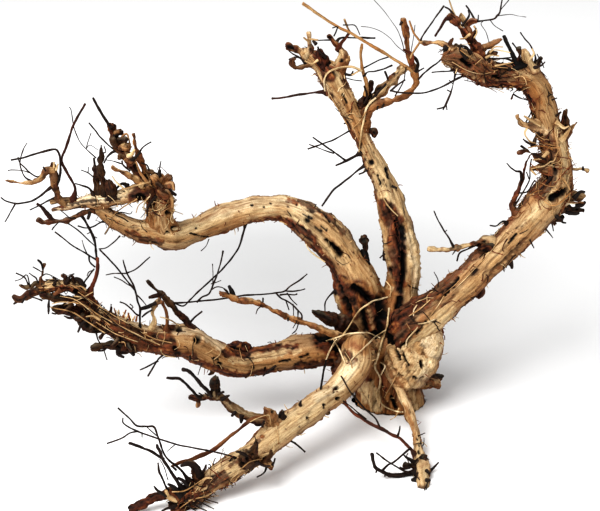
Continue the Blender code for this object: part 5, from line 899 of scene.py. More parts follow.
fineTwigs["centreFine"] = [
    (dark, -2, [(299, 57, 0.9), (293, 54, 0.7), (289, 51, 0.6)]),
    (dusty, -1, [(309, 42, 1.1), (303.5, 37.5, 0.8)]), (dusty, -2, [(309, 39, 1.2), (318, 40, 1.1)]),
    (dark, -2, [(313, 41, 1.6), (316, 44, 2)]), (dark, 1, [(331, 40, 0.8), (317, 40.5, 0.6)]),
    (dark, 0, [(337, 26.5, 0.8), (332.5, 28, 0.6)]),
    (dark, 3, [(338, 26.5, 0.8), (336, 32, 0.8), (334, 36, 0.8)]),
    (dark, 1, [(343, 25, 0.6), (348, 25, 0.5), (354, 25, 0.5), (357, 28, 0.5), (360, 35, 0.5)]),
    (dark, -1, [(417, 72, 0.8), (424, 68, 0.6)]),
    (dark, -2, [(367, 97, 1.4), (366, 92, 1.2), (364, 86, 0.9)]),
    (dark, 2, [(346, 78, 0.6), (354, 80, 0.5), (362, 81, 0.5)]),
    (dark, -1, [(345, 74, 1.2), (351, 75, 1.1), (353, 71, 0.9)]),
    (dusty, 0, [(352, 75, 1), (357, 72, 0.9), (361, 70, 0.8)]),
    (dark, 2, [(334, 153.5, 0.8), (325, 150.5, 0.6), (316, 147, 0.6), (309, 144.5, 0.6)]),
    (dark, -2, [(385, 254, 0.9), (383, 255, 0.7), (380, 258, 0.6)]),
    (dark, 0, [(388, 80, 1), (387, 77, 1), (385, 71.5, 0.9)]),
    (dark, 2, [(406, 67, 0.6), (404, 80, 0.5), (400, 88, 0.6), (395, 96, 0.7)]),
    (dark, 6, [(404, 50, 0.5), (402, 42, 0.4), (398, 31, 0.35), (392, 22, 0.3), (384, 11, 0.3),
        (374, 0, 0.3)]),
    (dark, 4, [(407, 54, 0.5), (397, 46, 0.35), (390, 38, 0.3), (380, 31, 0.3), (370, 27.5, 0.3),
        (361, 26.5, 0.3)]), (dark, 2, [(411, 52, 0.5), (413, 41, 0.4), (414, 33, 0.4), (415, 25, 0.4)]),
    (dark, -1, [(402, 22, 1.6), (400, 25, 1)]), (dusty, -3, [(318, 60, 1.4), (312, 64, 1), (305, 61, 0.7)]),
    (dark, -3, [(326, 58, 1.8), (320, 52, 1.3), (318, 47, 0.9)]),
    (dark, -2, [(372, 100, 1.8), (378, 92, 1.3), (386, 84, 0.9)]),
    (dark, -2, [(378, 106, 1), (377, 110, 0.7)]), (dark, -2, [(384, 104, 1), (382, 108, 0.7)]),
    (dark, -2, [(364, 104, 1.4), (368, 96, 1)]), (dark, -2, [(348, 122, 1), (344, 124, 0.7)]),
    (dark, -2, [(392, 186, 1.2), (397, 188, 0.8)]),
]
fineTwigs["rightFine"] = [
    (dark, 2, [(497, 16, 0.5), (510, 14.5, 0.4), (518, 16, 0.3), (526, 17, 0.3)]),
    (dark, 2, [(490, 20, 0.5), (495, 26, 0.4), (503, 31, 0.4)]),
    (dark, -2, [(484, 20.5, 0.5), (481, 24, 0.4), (486, 32, 0.4), (489, 42, 0.4)]),
    (dark, 2, [(500, 11, 0.5), (503, 7, 0.4), (509, 0, 0.4)]),
    (dark, 2, [(478, 21, 0.7), (478.5, 15, 0.5)]),
    (dusty, -4, [(490, 52, 0.9), (495, 47, 0.7), (503, 47, 0.6)]),
    (dusty, -4, [(490, 53, 0.9), (494, 50, 0.7), (503, 51, 0.6), (510, 52.5, 0.6)]),
    (dark, -2, [(503, 58.5, 0.8), (511, 57.5, 0.6)]),
    (dusty, -5, [(495, 66, 0.9), (505, 64, 0.7), (513, 62.5, 0.6)]),
    (dark, 0, [(540, 60, 0.7), (537, 54, 0.5)]), (dark, 2, [(541, 60, 0.7), (544, 68, 0.5)]),
    (dark, -2, [(513, 94, 0.8), (520, 98, 0.7), (527, 100, 0.6)]),
    (dark, 2, [(552, 223, 0.8), (553.5, 231, 0.5)]), (dark, 2, [(546, 229, 0.8), (553, 238, 0.5)]),
    (dark, 2, [(530, 240, 0.8), (534, 248, 0.5)]), (dark, 0, [(529, 179, 0.6), (526.5, 172, 0.5)]),
    (dark, -1, [(520, 186, 0.8), (521, 181, 0.6)]),
    (dark, 0, [(517, 193, 1), (523, 193, 0.7), (528, 191, 0.6), (533, 183, 0.7), (535, 180, 0.6)]),
    (dusty, -2, [(531, 170, 1.2), (536, 175, 1)]), (dark, 0, [(445, 232, 0.6), (447, 230, 0.5)]),
    (dark, 1, [(456, 250, 0.7), (452.5, 254.5, 0.5)]),
    (dark, -5, [(438, 287, 0.6), (438, 280, 0.5), (434, 272, 0.4)]),
    (dark, -2, [(438, 292, 0.7), (432, 288, 0.5)]), (dark, 0, [(446, 104, 0.7), (443, 110, 0.6)]),
    (dark, 0, [(446, 104, 0.7), (447, 110, 0.6)]), (dark, 0, [(451, 92, 0.6), (447, 90, 0.5)]),
    (dark, 0, [(453, 84, 0.6), (449, 80, 0.5)]),
    (dark, -2, [(526, 122, 0.8), (530, 115, 0.8), (531, 112, 0.6)]),
    (dusty, -3, [(528, 127, 1.4), (525, 133, 0.9), (527, 138, 0.8), (531, 142, 0.8), (536, 143.5, 0.7)]),
    (dusty, -5, [(540, 125, 2), (531, 120, 1.6), (524, 116, 1)]),
    (dark, -4, [(536, 146, 1.6), (528, 143, 1.2), (523, 139, 0.7)]),
    (dusty, -5, [(548, 152, 1.8), (541, 158, 1.3), (533, 160, 0.8)]),
    (dark, -5, [(552, 176, 1.8), (546, 184, 1.3), (540, 190, 0.8)]),
    (dusty, -4, [(560, 176, 1.6), (566, 182, 1.2), (570, 190, 0.9)]),
    (dark, 3, [(556, 116, 1.2), (561, 112, 0.8)]), (dark, 3, [(552, 100, 1), (557, 98, 0.7)]),
    (dark, -4, [(574, 198, 2.4), (580, 192, 1.6), (585, 192, 1)]),
    (dark, -4, [(576, 206, 2.4), (582, 205, 1.8), (585, 202, 1.1)]),
    (dark, -3, [(566, 212, 2.2), (574, 214, 1.6), (579, 213, 1)]),
    (dark, -3, [(556, 216, 2), (562, 220, 1.4)]),
    (dusty, -4, [(556, 122, 2), (563, 128, 1.6), (569, 126, 1)]),
    (dusty, -4, [(561, 140, 2.4), (567, 134, 1.8), (570, 128, 1.1)]),
    (dark, -4, [(471, 54, 2), (466, 47, 1.4), (458, 46, 0.9)]),
    (dusty, -4, [(486, 58, 1.6), (492, 55, 1.1), (499, 56, 0.7)]),
    (dark, -4, [(466, 58, 1.8), (460, 50, 1.2), (461, 44, 0.8)]),
    (dusty, -3, [(470, 34, 1.6), (465, 38, 1.1), (460, 39, 0.7)]),
    (dark, -3, [(462, 26, 1.4), (469, 16, 1), (468, 10, 0.6)]),
    (dusty, -3, [(529, 60, 1.6), (534, 54, 1.1), (532, 49, 0.7)]),
    (dark, -3, [(534, 68, 1.6), (541, 66, 1.1), (545, 62, 0.7)]),
    (dusty, -3, [(474, 26, 1.2), (477, 32, 0.9), (474, 38, 0.7)]),
    (dark, -3, [(510, 70, 1.6), (504, 66, 1), (498, 67, 0.7)]),
]
fineTwigs["frontFine"] = [
    (dark, -2, [(218, 394, 1.6), (224, 392, 1)]), (dark, -2, [(203, 396, 1), (199, 393, 0.7)]),
    (dark, -2, [(208, 396, 1), (205, 393, 0.7)]),
    (dark, 2, [(147, 427, 0.6), (151, 431, 0.5), (157, 436, 0.5)]),
    (dark, 2, [(142, 434, 0.6), (142, 437.5, 0.5)]), (dark, 2, [(176, 444, 0.6), (167, 451.5, 0.4)]),
    (dark, 2, [(168, 480, 0.6), (164, 467, 0.5), (159.5, 459, 0.4)]),
    (dark, -3, [(176, 470, 1.2), (174, 468, 1), (171, 466, 0.8)]),
    (dark, -6, [(200, 476, 3), (196, 467, 2.6), (188, 464, 2.2), (181, 466, 1.4)]),
    (dark, -4, [(203, 472, 2), (206, 465, 1)]),
    (dark, -6, [(196, 500, 0.9), (204, 504, 0.7), (214, 509, 0.5)]),
    (dark, -6, [(200, 496, 0.9), (208, 500, 0.7), (218, 503, 0.5)]),
    (dark, -6, [(192, 503, 0.9), (200, 508, 0.7), (207, 511, 0.5)]),
    (dark, -8, [(186, 500, 1.2), (190, 507, 0.9), (196, 511, 0.6)]),
    (dark, 2, [(232, 458, 0.7), (228, 463, 0.6), (221, 467, 0.6), (213, 470, 0.5)]),
    (dark, -5, [(180, 495, 3), (173, 487, 2.2), (168, 484, 1.4)]),
    (dark, -5, [(190, 488, 2.4), (184, 481, 1.8), (178, 478, 1.2)]),
    (dusty, -5, [(176, 500, 2.6), (168, 497, 2.2), (166, 491, 1.6)]),
    (dark, -6, [(176, 506, 2), (168, 508, 1.5), (162, 511, 1)]),
    (dusty, -4, [(200, 484, 1.8), (206, 478, 1.3), (212, 478, 0.8)]),
    (dark, -5, [(166, 496, 2), (158, 491, 1.4), (154, 486, 0.8)]),
    (dark, 0, [(140, 504, 3.4), (134, 507, 3), (131, 511, 2)]),
    (dark, -3, [(247, 456, 2), (240, 452, 1.4), (236, 452, 0.8)]),
    (dark, -3, [(256, 462, 1.8), (264, 466, 1.2), (270, 466, 0.8)]),
    (dusty, -3, [(262, 456, 1.6), (272, 452, 1), (274, 446, 0.6)]),
    (dark, -2, [(236, 411, 2), (232, 416, 1.2)]), (dark, -2, [(264, 421, 1.6), (262, 427, 1)]),
    (dark, -2, [(300, 405, 1.4), (301, 401, 0.9)]),
]
fineTwigs["legFine"] = [
    (dark, 4, [(366, 419, 0.9), (357, 412, 0.8), (350, 406, 0.7), (343, 401, 0.6)]),
    (dark, -1, [(377, 468, 1), (376, 473, 0.8)]), (dark, -1, [(385, 472, 1), (385, 477, 0.8)]),
    (dark, -3, [(409, 463, 0.5), (406.5, 457, 0.4), (408, 453, 0.4)]),
    (dark, -3, [(414, 462, 2), (407, 458, 1.4), (404, 455, 0.8)]),
    (dark, -3, [(410, 467, 1.8), (404, 469, 1.2), (400, 467, 0.8)]),
    (dark, -3, [(426, 470, 1.8), (430, 474, 1.2)]), (dark, -2, [(426, 480, 1.6), (430, 480, 1.2)]),
    (dusty, -2, [(399, 408, 0.6), (396, 416, 0.5), (390, 420, 0.4)]),
    (dark, -2, [(418, 436, 0.7), (425, 433, 0.5)]),
]

# Rootlets that creep over a limb, between two of its places: limb, from, to, count, lift in
# millimetres, and the colours that they have
rootletPatches = {}
rootletPatches["arch"] = [
    ("archCrown", (160, 215), (157, 180), 90, 10, [dark, dusty, dusty, reddish]),
    ("archLimb", (150, 233), (99, 210), 26, 6, [dark, dusty, scorched]),
    ("archLimb", (285, 209), (355, 280), 26, 2, [dusty, dark, scorched]),
    ("archPaleBranch", (75, 204), (150, 190), 34, 6, [dark, dusty, pale]),
]
rootletPatches["low"] = [
    ("lowLimb", (195, 345), (104, 320), 90, 6, [dark, dusty, dusty, scorched]),
    ("lowLimb", (104, 320), (41, 287), 66, 8, [dark, dark, dusty, scorched]),
    ("lowLimb", (330, 349), (200, 348), 30, 3, [dark, dusty, scorched]),
]
rootletPatches["centre"] = [
    ("centreLimb", (357, 125), (305, 53), 40, 4, [dusty, pale, dark, reddish]),
    ("centreLimb", (400, 330), (371, 156), 24, 3, [dusty, dark, reddish]),
]
rootletPatches["right"] = [
    ("rightLimb", (534, 215), (549, 125), 190, 8, [dusty, golden, reddish, russet]),
    ("rightLimb", (549, 125), (516, 75), 40, 5, [dusty, dark, reddish]),
    ("rightLimb", (516, 75), (449, 57), 130, 7, [dusty, dark, reddish, scorched]),
    ("rightLimb", (534, 215), (414, 325), 80, 4, [dusty, dark, reddish, scorched]),
]
rootletPatches["front"] = [
    ("frontLimb", (225, 472), (176, 505), 130, 10, [dusty, dark, dark, reddish]),
    ("frontLimb", (268, 441), (240, 463), 26, 5, [dark, dusty]),
    ("frontLeg", (418, 445), (423, 487), 18, 5, [dark, dark, dusty]),
    ("crown", (362, 314), (424, 334), 40, 4, [dusty, russet, reddish]),
    ("stump", (390, 360), (388, 418), 50, 3, [dusty, reddish, russet]),
]

# Short stiff hairs all along a limb: how many
hairCounts = {
    "archLimb": 110, "archCrown": 30, "archPaleBranch": 20, "lowLimb": 110, "centreLimb": 90,
    "rightLimb": 190, "frontLimb": 120, "frontLeg": 14, "brainBurl": 10, "brainBurlSide": 8,
}

# Colours as the eye names them, in 8-bit screen values
shades = {
    "cream": (226, 213, 187), "sand": (202, 181, 146), "tan": (173, 142, 104), "gold": (155, 112, 70),
    "ochre": (130, 90, 58), "rust": (116, 62, 40), "bark": (72, 36, 25), "umber": (45, 30, 24),
    "ash": (36, 31, 30), "black": (5, 3, 2),
}


def linear(colour):
    value = np.array(colour, float) / 255
    return np.where(value < 0.04045, value / 12.92, ((value + 0.055) / 1.055) ** 2.4)


tones = {name: linear(colour) for name, colour in shades.items()}

# Large odd numbers that scatter the noise's lattice corners, and how far apart two seeds read it
scatter = {"across": 374761393, "back": 668265263, "up": 1440662683, "seed": 144665, "stir": 1274126177}
seedShift = 31.7
low32, low19, low16 = 0xFFFFFFFF, 0x7FFFF, 0xFFFF


# Smooth noise from -1 to 1 in space: a cubic lattice's random values, blended with eased weights. A
# corner's value is its whole numbers times the large odd ones, folded over on itself.
def waves(places, size, seed=0):
    spot = np.asarray(places, float) / size + seedShift * (seed + 1)
    cell = np.floor(spot)
    part = spot - cell
    part = part * part * (3 - 2 * part)
    cell = cell.astype(np.int64)
    total = np.zeros(spot.shape[:-1])
    for corner in range(8):
        step = np.array([corner & 1, corner >> 1 & 1, corner >> 2])
        at = cell + step
        key = at[..., 0] * scatter["across"] + at[..., 1] * scatter["back"] + at[..., 2] * scatter["up"]
        key = key + seed * scatter["seed"]
        key = ((key & low32) ^ (key >> 13 & low19)) * scatter["stir"] & low32
        key = (key ^ key >> 16) & low16
        weight = np.prod(np.where(step == 1, part, 1 - part), axis=-1)
        total += weight * (key / (low16 / 2) - 1)
    return total


# Several sizes of the same noise, each half as long and half as high as the one before
def layers(places, size, seed=0, count=3):
    return sum(waves(places, size / 2 ** k, seed + k) / 2 ** k for k in range(count))


def eased(value):
    value = np.clip(value, 0, 1)
    return value * value * (3 - 2 * value)


curveSteps = 8    # between two points of a route


# A smooth curve through the route's own points (Catmull-Rom), read off at an even spacing
def smoothRoute(points, spacing):
    rows = np.array(points, float)
    rows = np.vstack([2 * rows[0] - rows[1], rows, 2 * rows[-1] - rows[-2]])
    t = np.linspace(0, 1, curveSteps + 1)[:-1, None]
    fine = []
    for a, b, c, d in zip(rows, rows[1:], rows[2:], rows[3:]):
        fine.append(0.5 * (2 * b + (c - a) * t + (2 * a - 5 * b + 4 * c - d) * t * t
                           + (3 * b - a - 3 * c + d) * t ** 3))
    fine = np.vstack([*fine, rows[-2]])
    length = np.concatenate([[0], np.cumsum(np.linalg.norm(np.diff(fine[:, :3], axis=0), axis=1))])
    stations = np.linspace(0, length[-1], max(3, round(length[-1] / spacing) + 1))
    return np.stack([np.interp(stations, length, fine[:, k]) for k in range(fine.shape[1])], axis=1)


# Turns rows of (across, down, depth, radius) into rows of (x, y, z, radius) in millimetres
def inSpace(rows):
    across, down, depth, radius = np.array(rows, float).T
    place, reach = placed(across, down, depth)
    return np.column_stack([place, radius * reach])


# The depth of a stem's points runs evenly from root to tip along its drawn length
def withDepth(root, tip, points):
    flat = np.array(points, float)
    along = np.concatenate([[0], np.cumsum(np.linalg.norm(np.diff(flat[:, :2], axis=0), axis=1))])
    depth = root + (tip - root) * along / along[-1]
    return np.column_stack([flat[:, :2], depth, flat[:, 2]])


# Two crossways directions at each point of a path, carried along it without a twist. The first starts
# at the back, away from the viewer.
def crossways(path):
    tangent = np.gradient(path, axis=0)
    tangent /= np.linalg.norm(tangent, axis=1)[:, None]
    start = np.array([0.0, 1.0, 0.0]) if abs(tangent[0, 1]) < 0.9 else np.array([0.0, 0.0, 1.0])
    first = []
    for direction in tangent:
        start = start - direction * (start @ direction)
        start = start / np.linalg.norm(start)
        first.append(start)
    first = np.array(first)
    return tangent, first, np.cross(tangent, first)


# Where a rounded end has its rings, in radians of a quarter turn: on thick wood, and on fine twigs
capTurns = {"thick": (0.35, 0.7, 1.05, 1.35), "fine": (0.5, 1.1), "finest": 0.9}


# A closed tube on a grid of (ring, angle): centre + radius (first cos + second sin), with rounded ends
# whose rings shrink as the cosine of a quarter turn while they move on by its sine
def tubeGrid(route, sides, blunt=(0.8, 0.8)):
    path, radius = route[:, :3], route[:, 3]
    tangent, first, second = crossways(path)
    turns = np.array(capTurns["thick" if radius.max() > capTurns["finest"] else "fine"])
    capPath, capRadius, poles = [], [], []
    for end, sign, turn, push in ((0, -1, turns[::-1], blunt[0]), (-1, 1, turns, blunt[1])):
        reachOut = sign * push * radius[end] * np.sin(turn)
        capPath.append(path[end] + reachOut[:, None] * tangent[end])
        capRadius.append(radius[end] * np.cos(turn))
        poles.append(path[end] + sign * push * radius[end] * tangent[end])
    path = np.vstack([capPath[0], path, capPath[1]])
    radius = np.concatenate([capRadius[0], radius, capRadius[1]])
    count = len(turns)
    first = np.vstack([np.repeat(first[:1], count, 0), first, np.repeat(first[-1:], count, 0)])
    second = np.vstack([np.repeat(second[:1], count, 0), second, np.repeat(second[-1:], count, 0)])
    angle = np.arange(sides) * 2 * math.pi / sides
    outward = first[:, None] * np.cos(angle)[:, None] + second[:, None] * np.sin(angle)[:, None]
    grid = path[:, None] + radius[:, None, None] * outward
    length = np.concatenate([[0], np.cumsum(np.linalg.norm(np.diff(path, axis=0), axis=1))])
    return {"grid": grid, "poles": np.array(poles), "length": length, "angle": angle, "radius": radius}


# Outward normals of a ring grid: the cross product of the steps round it and along it
def gridNormals(grid):
    around = np.roll(grid, -1, axis=1) - np.roll(grid, 1, axis=1)
    along = np.gradient(grid, axis=0)
    normal = np.cross(around, along)
    return normal / np.maximum(np.linalg.norm(normal, axis=-1), 1e-9)[..., None]


# The grain's own coordinates: length along the limb, and two across it that close round it
def grainOf(tube):
    middle = np.median(tube["radius"])
    length = np.repeat(tube["length"][:, None], len(tube["angle"]), axis=1)
    return np.stack([length, np.broadcast_to(middle * np.cos(tube["angle"]), length.shape),
                     np.broadcast_to(middle * np.sin(tube["angle"]), length.shape)], axis=-1)


farAway = 1e9


# Distance from places to the skin of a round route: to the nearest point of its pieces, less the
# radius there
def skinDistance(places, route):
    best = np.full(len(places), farAway)
    for a, b in zip(route[:-1], route[1:]):
        step = b[:3] - a[:3]
        share = np.clip((places - a[:3]) @ step / (step @ step), 0, 1)
        gap = np.linalg.norm(places - a[:3] - share[:, None] * step, axis=1) - a[3] - share * (b[3] - a[3])
        best = np.minimum(best, gap)
    return best


# Distance on the sheet from points to a drawn line
def lineDistance(across, down, points):
    if len(points) == 1:
        return np.hypot(across - points[0][0], down - points[0][1])
    best = np.full(across.shape, farAway)
    for (au, av), (bu, bv) in zip(points[:-1], points[1:]):
        du, dv = bu - au, bv - av
        share = np.clip(((across - au) * du + (down - av) * dv) / max(du * du + dv * dv, 1e-9), 0, 1)
        best = np.minimum(best, np.hypot(across - au - share * du, down - av - share * dv))
    return best


# One mesh object in metres from arrays in millimetres, with its colour and grain attributes: quads
# between the rings, and a fan of triangles from each pole
def woodPiece(name, parts, material):
    vertices, quads, triangles, colours, grains = [], [], [], [], []
    count = 0
    for part in parts:
        rings, sides = part["grid"].shape[:2]
        ring = np.arange(rings - 1)[:, None] * sides
        turn = np.arange(sides)[None, :]
        after = (turn + 1) % sides
        between = np.stack([ring + turn, ring + after, ring + sides + after, ring + sides + turn], axis=-1)
        turn, after = turn[0], after[0]
        startPole = np.full(sides, rings * sides)
        last = (rings - 1) * sides
        starts = np.stack([startPole, after, turn], axis=-1)
        ends = np.stack([startPole + 1, last + turn, last + after], axis=-1)
        quads.append(between.reshape(-1, 4) + count)
        triangles.append(np.vstack([starts, ends]) + count)
        vertices.append(np.vstack([part["grid"].reshape(-1, 3), part["poles"]]))
        for store, value in ((colours, part["colour"]), (grains, part["grain"])):
            store.append(np.vstack([value.reshape(-1, 3), value[0].mean(axis=0), value[-1].mean(axis=0)]))
        count += rings * sides + 2
    vertices = np.vstack(vertices)
    vertices[:, 2] = np.maximum(vertices[:, 2], 0)
    quads, triangles = np.vstack(quads), np.vstack(triangles)
    corners = np.concatenate([quads.ravel(), triangles.ravel()])
    starts = np.concatenate([np.arange(len(quads)) * 4, len(quads) * 4 + np.arange(len(triangles)) * 3])
    mesh = bpy.data.meshes.new(name)
    mesh.vertices.add(len(vertices))
    mesh.vertices.foreach_set("co", (vertices * mm).astype(np.float32).ravel())
    mesh.loops.add(len(corners))
    mesh.loops.foreach_set("vertex_index", corners.astype(np.int32))
    mesh.polygons.add(len(starts))
    mesh.polygons.foreach_set("loop_start", starts.astype(np.int32))
    mesh.update(calc_edges=True)
    mesh.shade_smooth()
    colour = np.column_stack([np.vstack(colours), np.ones(len(vertices))])
    paint = mesh.attributes.new("woodColour", "FLOAT_COLOR", "POINT")
    paint.data.foreach_set("color", colour.astype(np.float32).ravel())
    grain = mesh.attributes.new("grainPlace", "FLOAT_VECTOR", "POINT")
    grain.data.foreach_set("vector", (np.vstack(grains) * mm).astype(np.float32).ravel())
    mesh.materials.append(material)
    piece = bpy.data.objects.new(name, mesh)
    bpy.context.scene.collection.objects.link(piece)
    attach(piece, "root")
    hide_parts("driftwood")
    print(f"{name}: {2 * len(quads) + len(triangles)} triangles")


mixFirst, mixSecond, mixResult = 6, 7, 2    # the colour sockets of a Mix node


def addNode(tree, kind, **inputs):
    node = tree.nodes.new(kind)
    for key, value in inputs.items():
        node.inputs[key].default_value = value
    return node


# A colour ramp from its stops, each a position and a colour
def addRamp(tree, stops):
    node = addNode(tree, "ShaderNodeValToRGB")
    elements = node.color_ramp.elements
    for number, (position, colour) in enumerate(stops):
        element = elements[number] if number < 2 else elements.new(position)
        element.position = position
        element.color = (*colour, 1)
    return node


def newMaterial(name, roughness, gloss):
    material = bpy.data.materials.new(name)
    material.use_nodes = True
    shader = material.node_tree.nodes["Principled BSDF"]
    shader.inputs["Roughness"].default_value = roughness
    shader.inputs["Specular IOR Level"].default_value = gloss
    return material, material.node_tree, shader


# The finish: the painted colour, crossed by fine dark grain streaks and speckles, and a bump of both
grainFinish = {
    "streakScale": (60.0, 620.0, 620.0),    # per metre, along the grain and twice across it
    "streakStops": ((0.3, (0.42, 0.31, 0.21)), (0.42, (0.9, 0.84, 0.74)), (0.62, (1.15, 1.14, 1.1))),
    "speckleScale": 1500.0,
    "speckleStops": ((0.3, (0.6, 0.56, 0.52)), (0.62, (1.08, 1.08, 1.08))),
    "bump": 0.00035,
    "bumpStrength": 0.8,
    "roughness": 0.66,
    "gloss": 0.2,
}


def woodMaterial(name, finish):
    material, tree, shader = newMaterial(name, finish["roughness"], finish["gloss"])
    link = tree.links.new
    colour = addNode(tree, "ShaderNodeAttribute")
    colour.attribute_name = "woodColour"
    place = addNode(tree, "ShaderNodeAttribute")
    place.attribute_name = "grainPlace"
    mapping = addNode(tree, "ShaderNodeMapping", Scale=finish["streakScale"])
    link(place.outputs["Vector"], mapping.inputs["Vector"])
    streaks = addNode(tree, "ShaderNodeTexNoise", Scale=1.0, Detail=5.0, Roughness=0.6, Distortion=0.4)
    link(mapping.outputs["Vector"], streaks.inputs["Vector"])
    objectPlace = addNode(tree, "ShaderNodeTexCoord")
    speckles = addNode(tree, "ShaderNodeTexNoise", Scale=finish["speckleScale"], Detail=3.0, Roughness=0.6)
    link(objectPlace.outputs["Object"], speckles.inputs["Vector"])
    painted = colour.outputs["Color"]
    height = addNode(tree, "ShaderNodeMath")
    height.operation = "ADD"
    for number, (noise, stops) in enumerate(((streaks, "streakStops"), (speckles, "speckleStops"))):
        ramp = addRamp(tree, finish[stops])
        link(noise.outputs["Fac"], ramp.inputs["Fac"])
        link(noise.outputs["Fac"], height.inputs[number])
        crossed = addNode(tree, "ShaderNodeMix", Factor=1.0)
        crossed.data_type = "RGBA"
        crossed.blend_type = "MULTIPLY"
        link(painted, crossed.inputs[mixFirst])
        link(ramp.outputs["Color"], crossed.inputs[mixSecond])
        painted = crossed.outputs[mixResult]
    link(painted, shader.inputs["Base Color"])
    bump = addNode(tree, "ShaderNodeBump", Strength=finish["bumpStrength"], Distance=finish["bump"])
    link(height.outputs["Value"], bump.inputs["Height"])
    link(bump.outputs["Normal"], shader.inputs["Normal"])
    return material


rootWood = woodMaterial("weathered root wood", grainFinish)

# Heights and lengths of the relief in millimetres, and shares of bark
limbLooks = {
    "spacing": 1.05,         # of the rings, and of the vertices round them
    "fillet": 9.0,           # how far two limbs grow together where they meet
    "lumps": (1.3, 25.0),    # height and length
    "knobs": (0.8, 9.0),
    "flutes": (0.9, 46.0, 6.0),    # height, length along the grain and width across it
    "grainRidges": (0.25, 16.0, 1.5),
    "pits": (0.9, 4.5, 1.2),
    "barkChips": (1.5, 8.0, 2.2),
    "barkSize": 32.0,
    "backBark": 0.75,        # how much bark is left on the side away from the viewer,
    "frontBark": 0.0,        # and on the side that faces the viewer, besides the marks
    # bark and painted edge shade in a ragged band along the sides that turn away from the viewer
    "edgeBarkAndShade": 0.75,        # ragged bark left along the sides
}
burlLooks = dict(limbLooks, lumps=(2.4, 15.0), knobs=(0.7, 7.0), flutes=(0.5, 24.0, 7.0),
                 grainRidges=(0.22, 14.0, 1.6), pits=(0.0, 4.0, 1.5))
stumpLooks = dict(limbLooks, lumps=(2.6, 19.0), knobs=(1.2, 8.0), flutes=(2.0, 40.0, 8.0))
branchLooks = {
    "spacing": 0.85,
    "fillet": 3.0,
    "lumps": (0.9, 10.0),
    "knobs": (1.0, 4.5),
    "flutes": (1.2, 18.0, 3.4),
    "grainRidges": (0.3, 9.0, 1.3),
    "pits": (1.2, 4.0, 1.6),
    "barkChips": (1.0, 4.5, 1.7),
    "barkSize": 9.0,
    "backBark": 0.7,
    "frontBark": 0.7,
    "edgeBarkAndShade": 0.6,
}

coarse = 6.0    # the spacing of routes that distances are measured to
limbRoutes = {name: smoothRoute(inSpace(rows), coarse) for name, rows in thickLimbs.items()}
burlShapes = {}
for name, (centre, half) in burls.items():
    middle, reach = placed(*centre)
    burlShapes[name] = (middle, np.array(half) * reach)

# The nearest wood on each square millimetre of the sheet and its margin, as the eye's reach to it
sheetSize = (620, 540)
sheetMargin = 10
nearestWood = np.full(sheetSize, farAway)


def sheetCell(across, down):
    column = np.clip(np.round(across).astype(int) + sheetMargin, 0, sheetSize[0] - 1)
    row = np.clip(np.round(down).astype(int) + sheetMargin, 0, sheetSize[1] - 1)
    return column, row


def noteDepth(places):
    across, down, reach = sheetOf(places.reshape(-1, 3))
    np.minimum.at(nearestWood, sheetCell(across, down), reach)


def mixed(colour, other, share):
    return colour + (np.asarray(other) - colour) * np.clip(share, 0, 1)[..., None]


# Which places lie in a route's box, widened by a margin
def inBox(places, route, margin):
    low = (route[:, :3] - route[:, 3:]).min(axis=0) - margin
    high = (route[:, :3] + route[:, 3:]).max(axis=0) + margin
    return np.all((places > low) & (places < high), axis=1)


# The outward step that lets two skins grow together: (k - distance)^2 / 4k within k of the other skin
def grownTogether(places, name, reach):
    step = np.zeros(len(places))
    for other, route in limbRoutes.items():
        near = inBox(places, route, reach)
        if other != name and near.any():
            gap = np.abs(skinDistance(places[near], route))
            step[near] = np.maximum(step[near], np.clip(reach - gap, 0, None) ** 2 / (4 * reach))
    return step


# Seeds of the noises, so that no relief runs with another
seeds = {
    "lumps": 1, "knobs": 4, "wander": 7, "quiver": 8, "flutes": 11, "grainRidges": 17, "pits": 19,
    "pitFields": 20, "grainTone": 23, "cracks": 29, "goldPatches": 31, "bark": 41, "edgeBarkAndShade": 43,
    "edges": 51, "chips": 61, "chipGrit": 67,
}

# Colour in the grain, and painted light and shade: sizes in millimetres, and the share of colour that each
# lays on
colourLooks = {
    "grainTone": (55, 6.5),       # length and width of the bands that run between the two colours
    "goldPatches": (15, 0.4),     # size and share
    # painted shade: ochre where the wood faces down; painted highlight: cream where it faces up
    "below": 0.8,                 # ochre where the wood faces down
    "above": 0.3,                 # cream where it faces up
    "cracks": (38, 1.9, 0.5),     # length, width and share
    # painted shade in the flutes' grooves and in the pits; painted light on the grain ridges, with painted
    # shade between them
    "fluteShade": 0.55,
    "pitShade": 0.9,
    "ridgeLight": 0.25,
}

# What each kind of mark paints: its colour and share, how far it reaches in half widths, and how
# sharply it ends. A kind that isn't here is a colour itself. A hole's black is painted shade in its
# hollow, a dent's umber painted shade in its crease, and a ridge's sand a painted highlight on its
# crest. Black is painted last, over the bark.
markPaint = {
    "hole": ("black", 1, 1.2, 2.2), "knot": ("black", 1, 0.85, 2.5),
    "ridge": ("sand", 0.5, 1.1, 1.5), "dent": ("umber", 0.55, 1.1, 1.5),
}
paintEdge = (1.25, 1.8)
darkStems = {"black": 0.3, "ash": 0.4, "umber": 0.5, "bark": 0.75}    # how bright each dark stem is


# Which places face the viewer, and their bark: by its shares at the back and in front, and in a ragged
# band along the sides as the viewer sees them, more on faces that turn down, that is bark and painted
# edge shade at once
def barkCover(places, outward, looks):
    towards = eyePlace - places
    turned = np.sum(outward * towards, axis=1) / np.linalg.norm(towards, axis=1)
    facing = turned > 0.02
    bark = eased((layers(places, looks["barkSize"], seeds["bark"], 2) - 0.15) * 4)
    bark = bark * np.where(facing, looks["frontBark"], looks["backBark"])
    # the side band: bark, and painted shade on the edges that turn away from the viewer
    ragged = layers(places, 14, seeds["edgeBarkAndShade"], 2) - 0.2 * outward[:, 2] + 0.2
    side = eased((0.42 - np.abs(turned)) * 3) * eased(ragged * 3)
    return facing, np.maximum(bark, looks["edgeBarkAndShade"] * side)


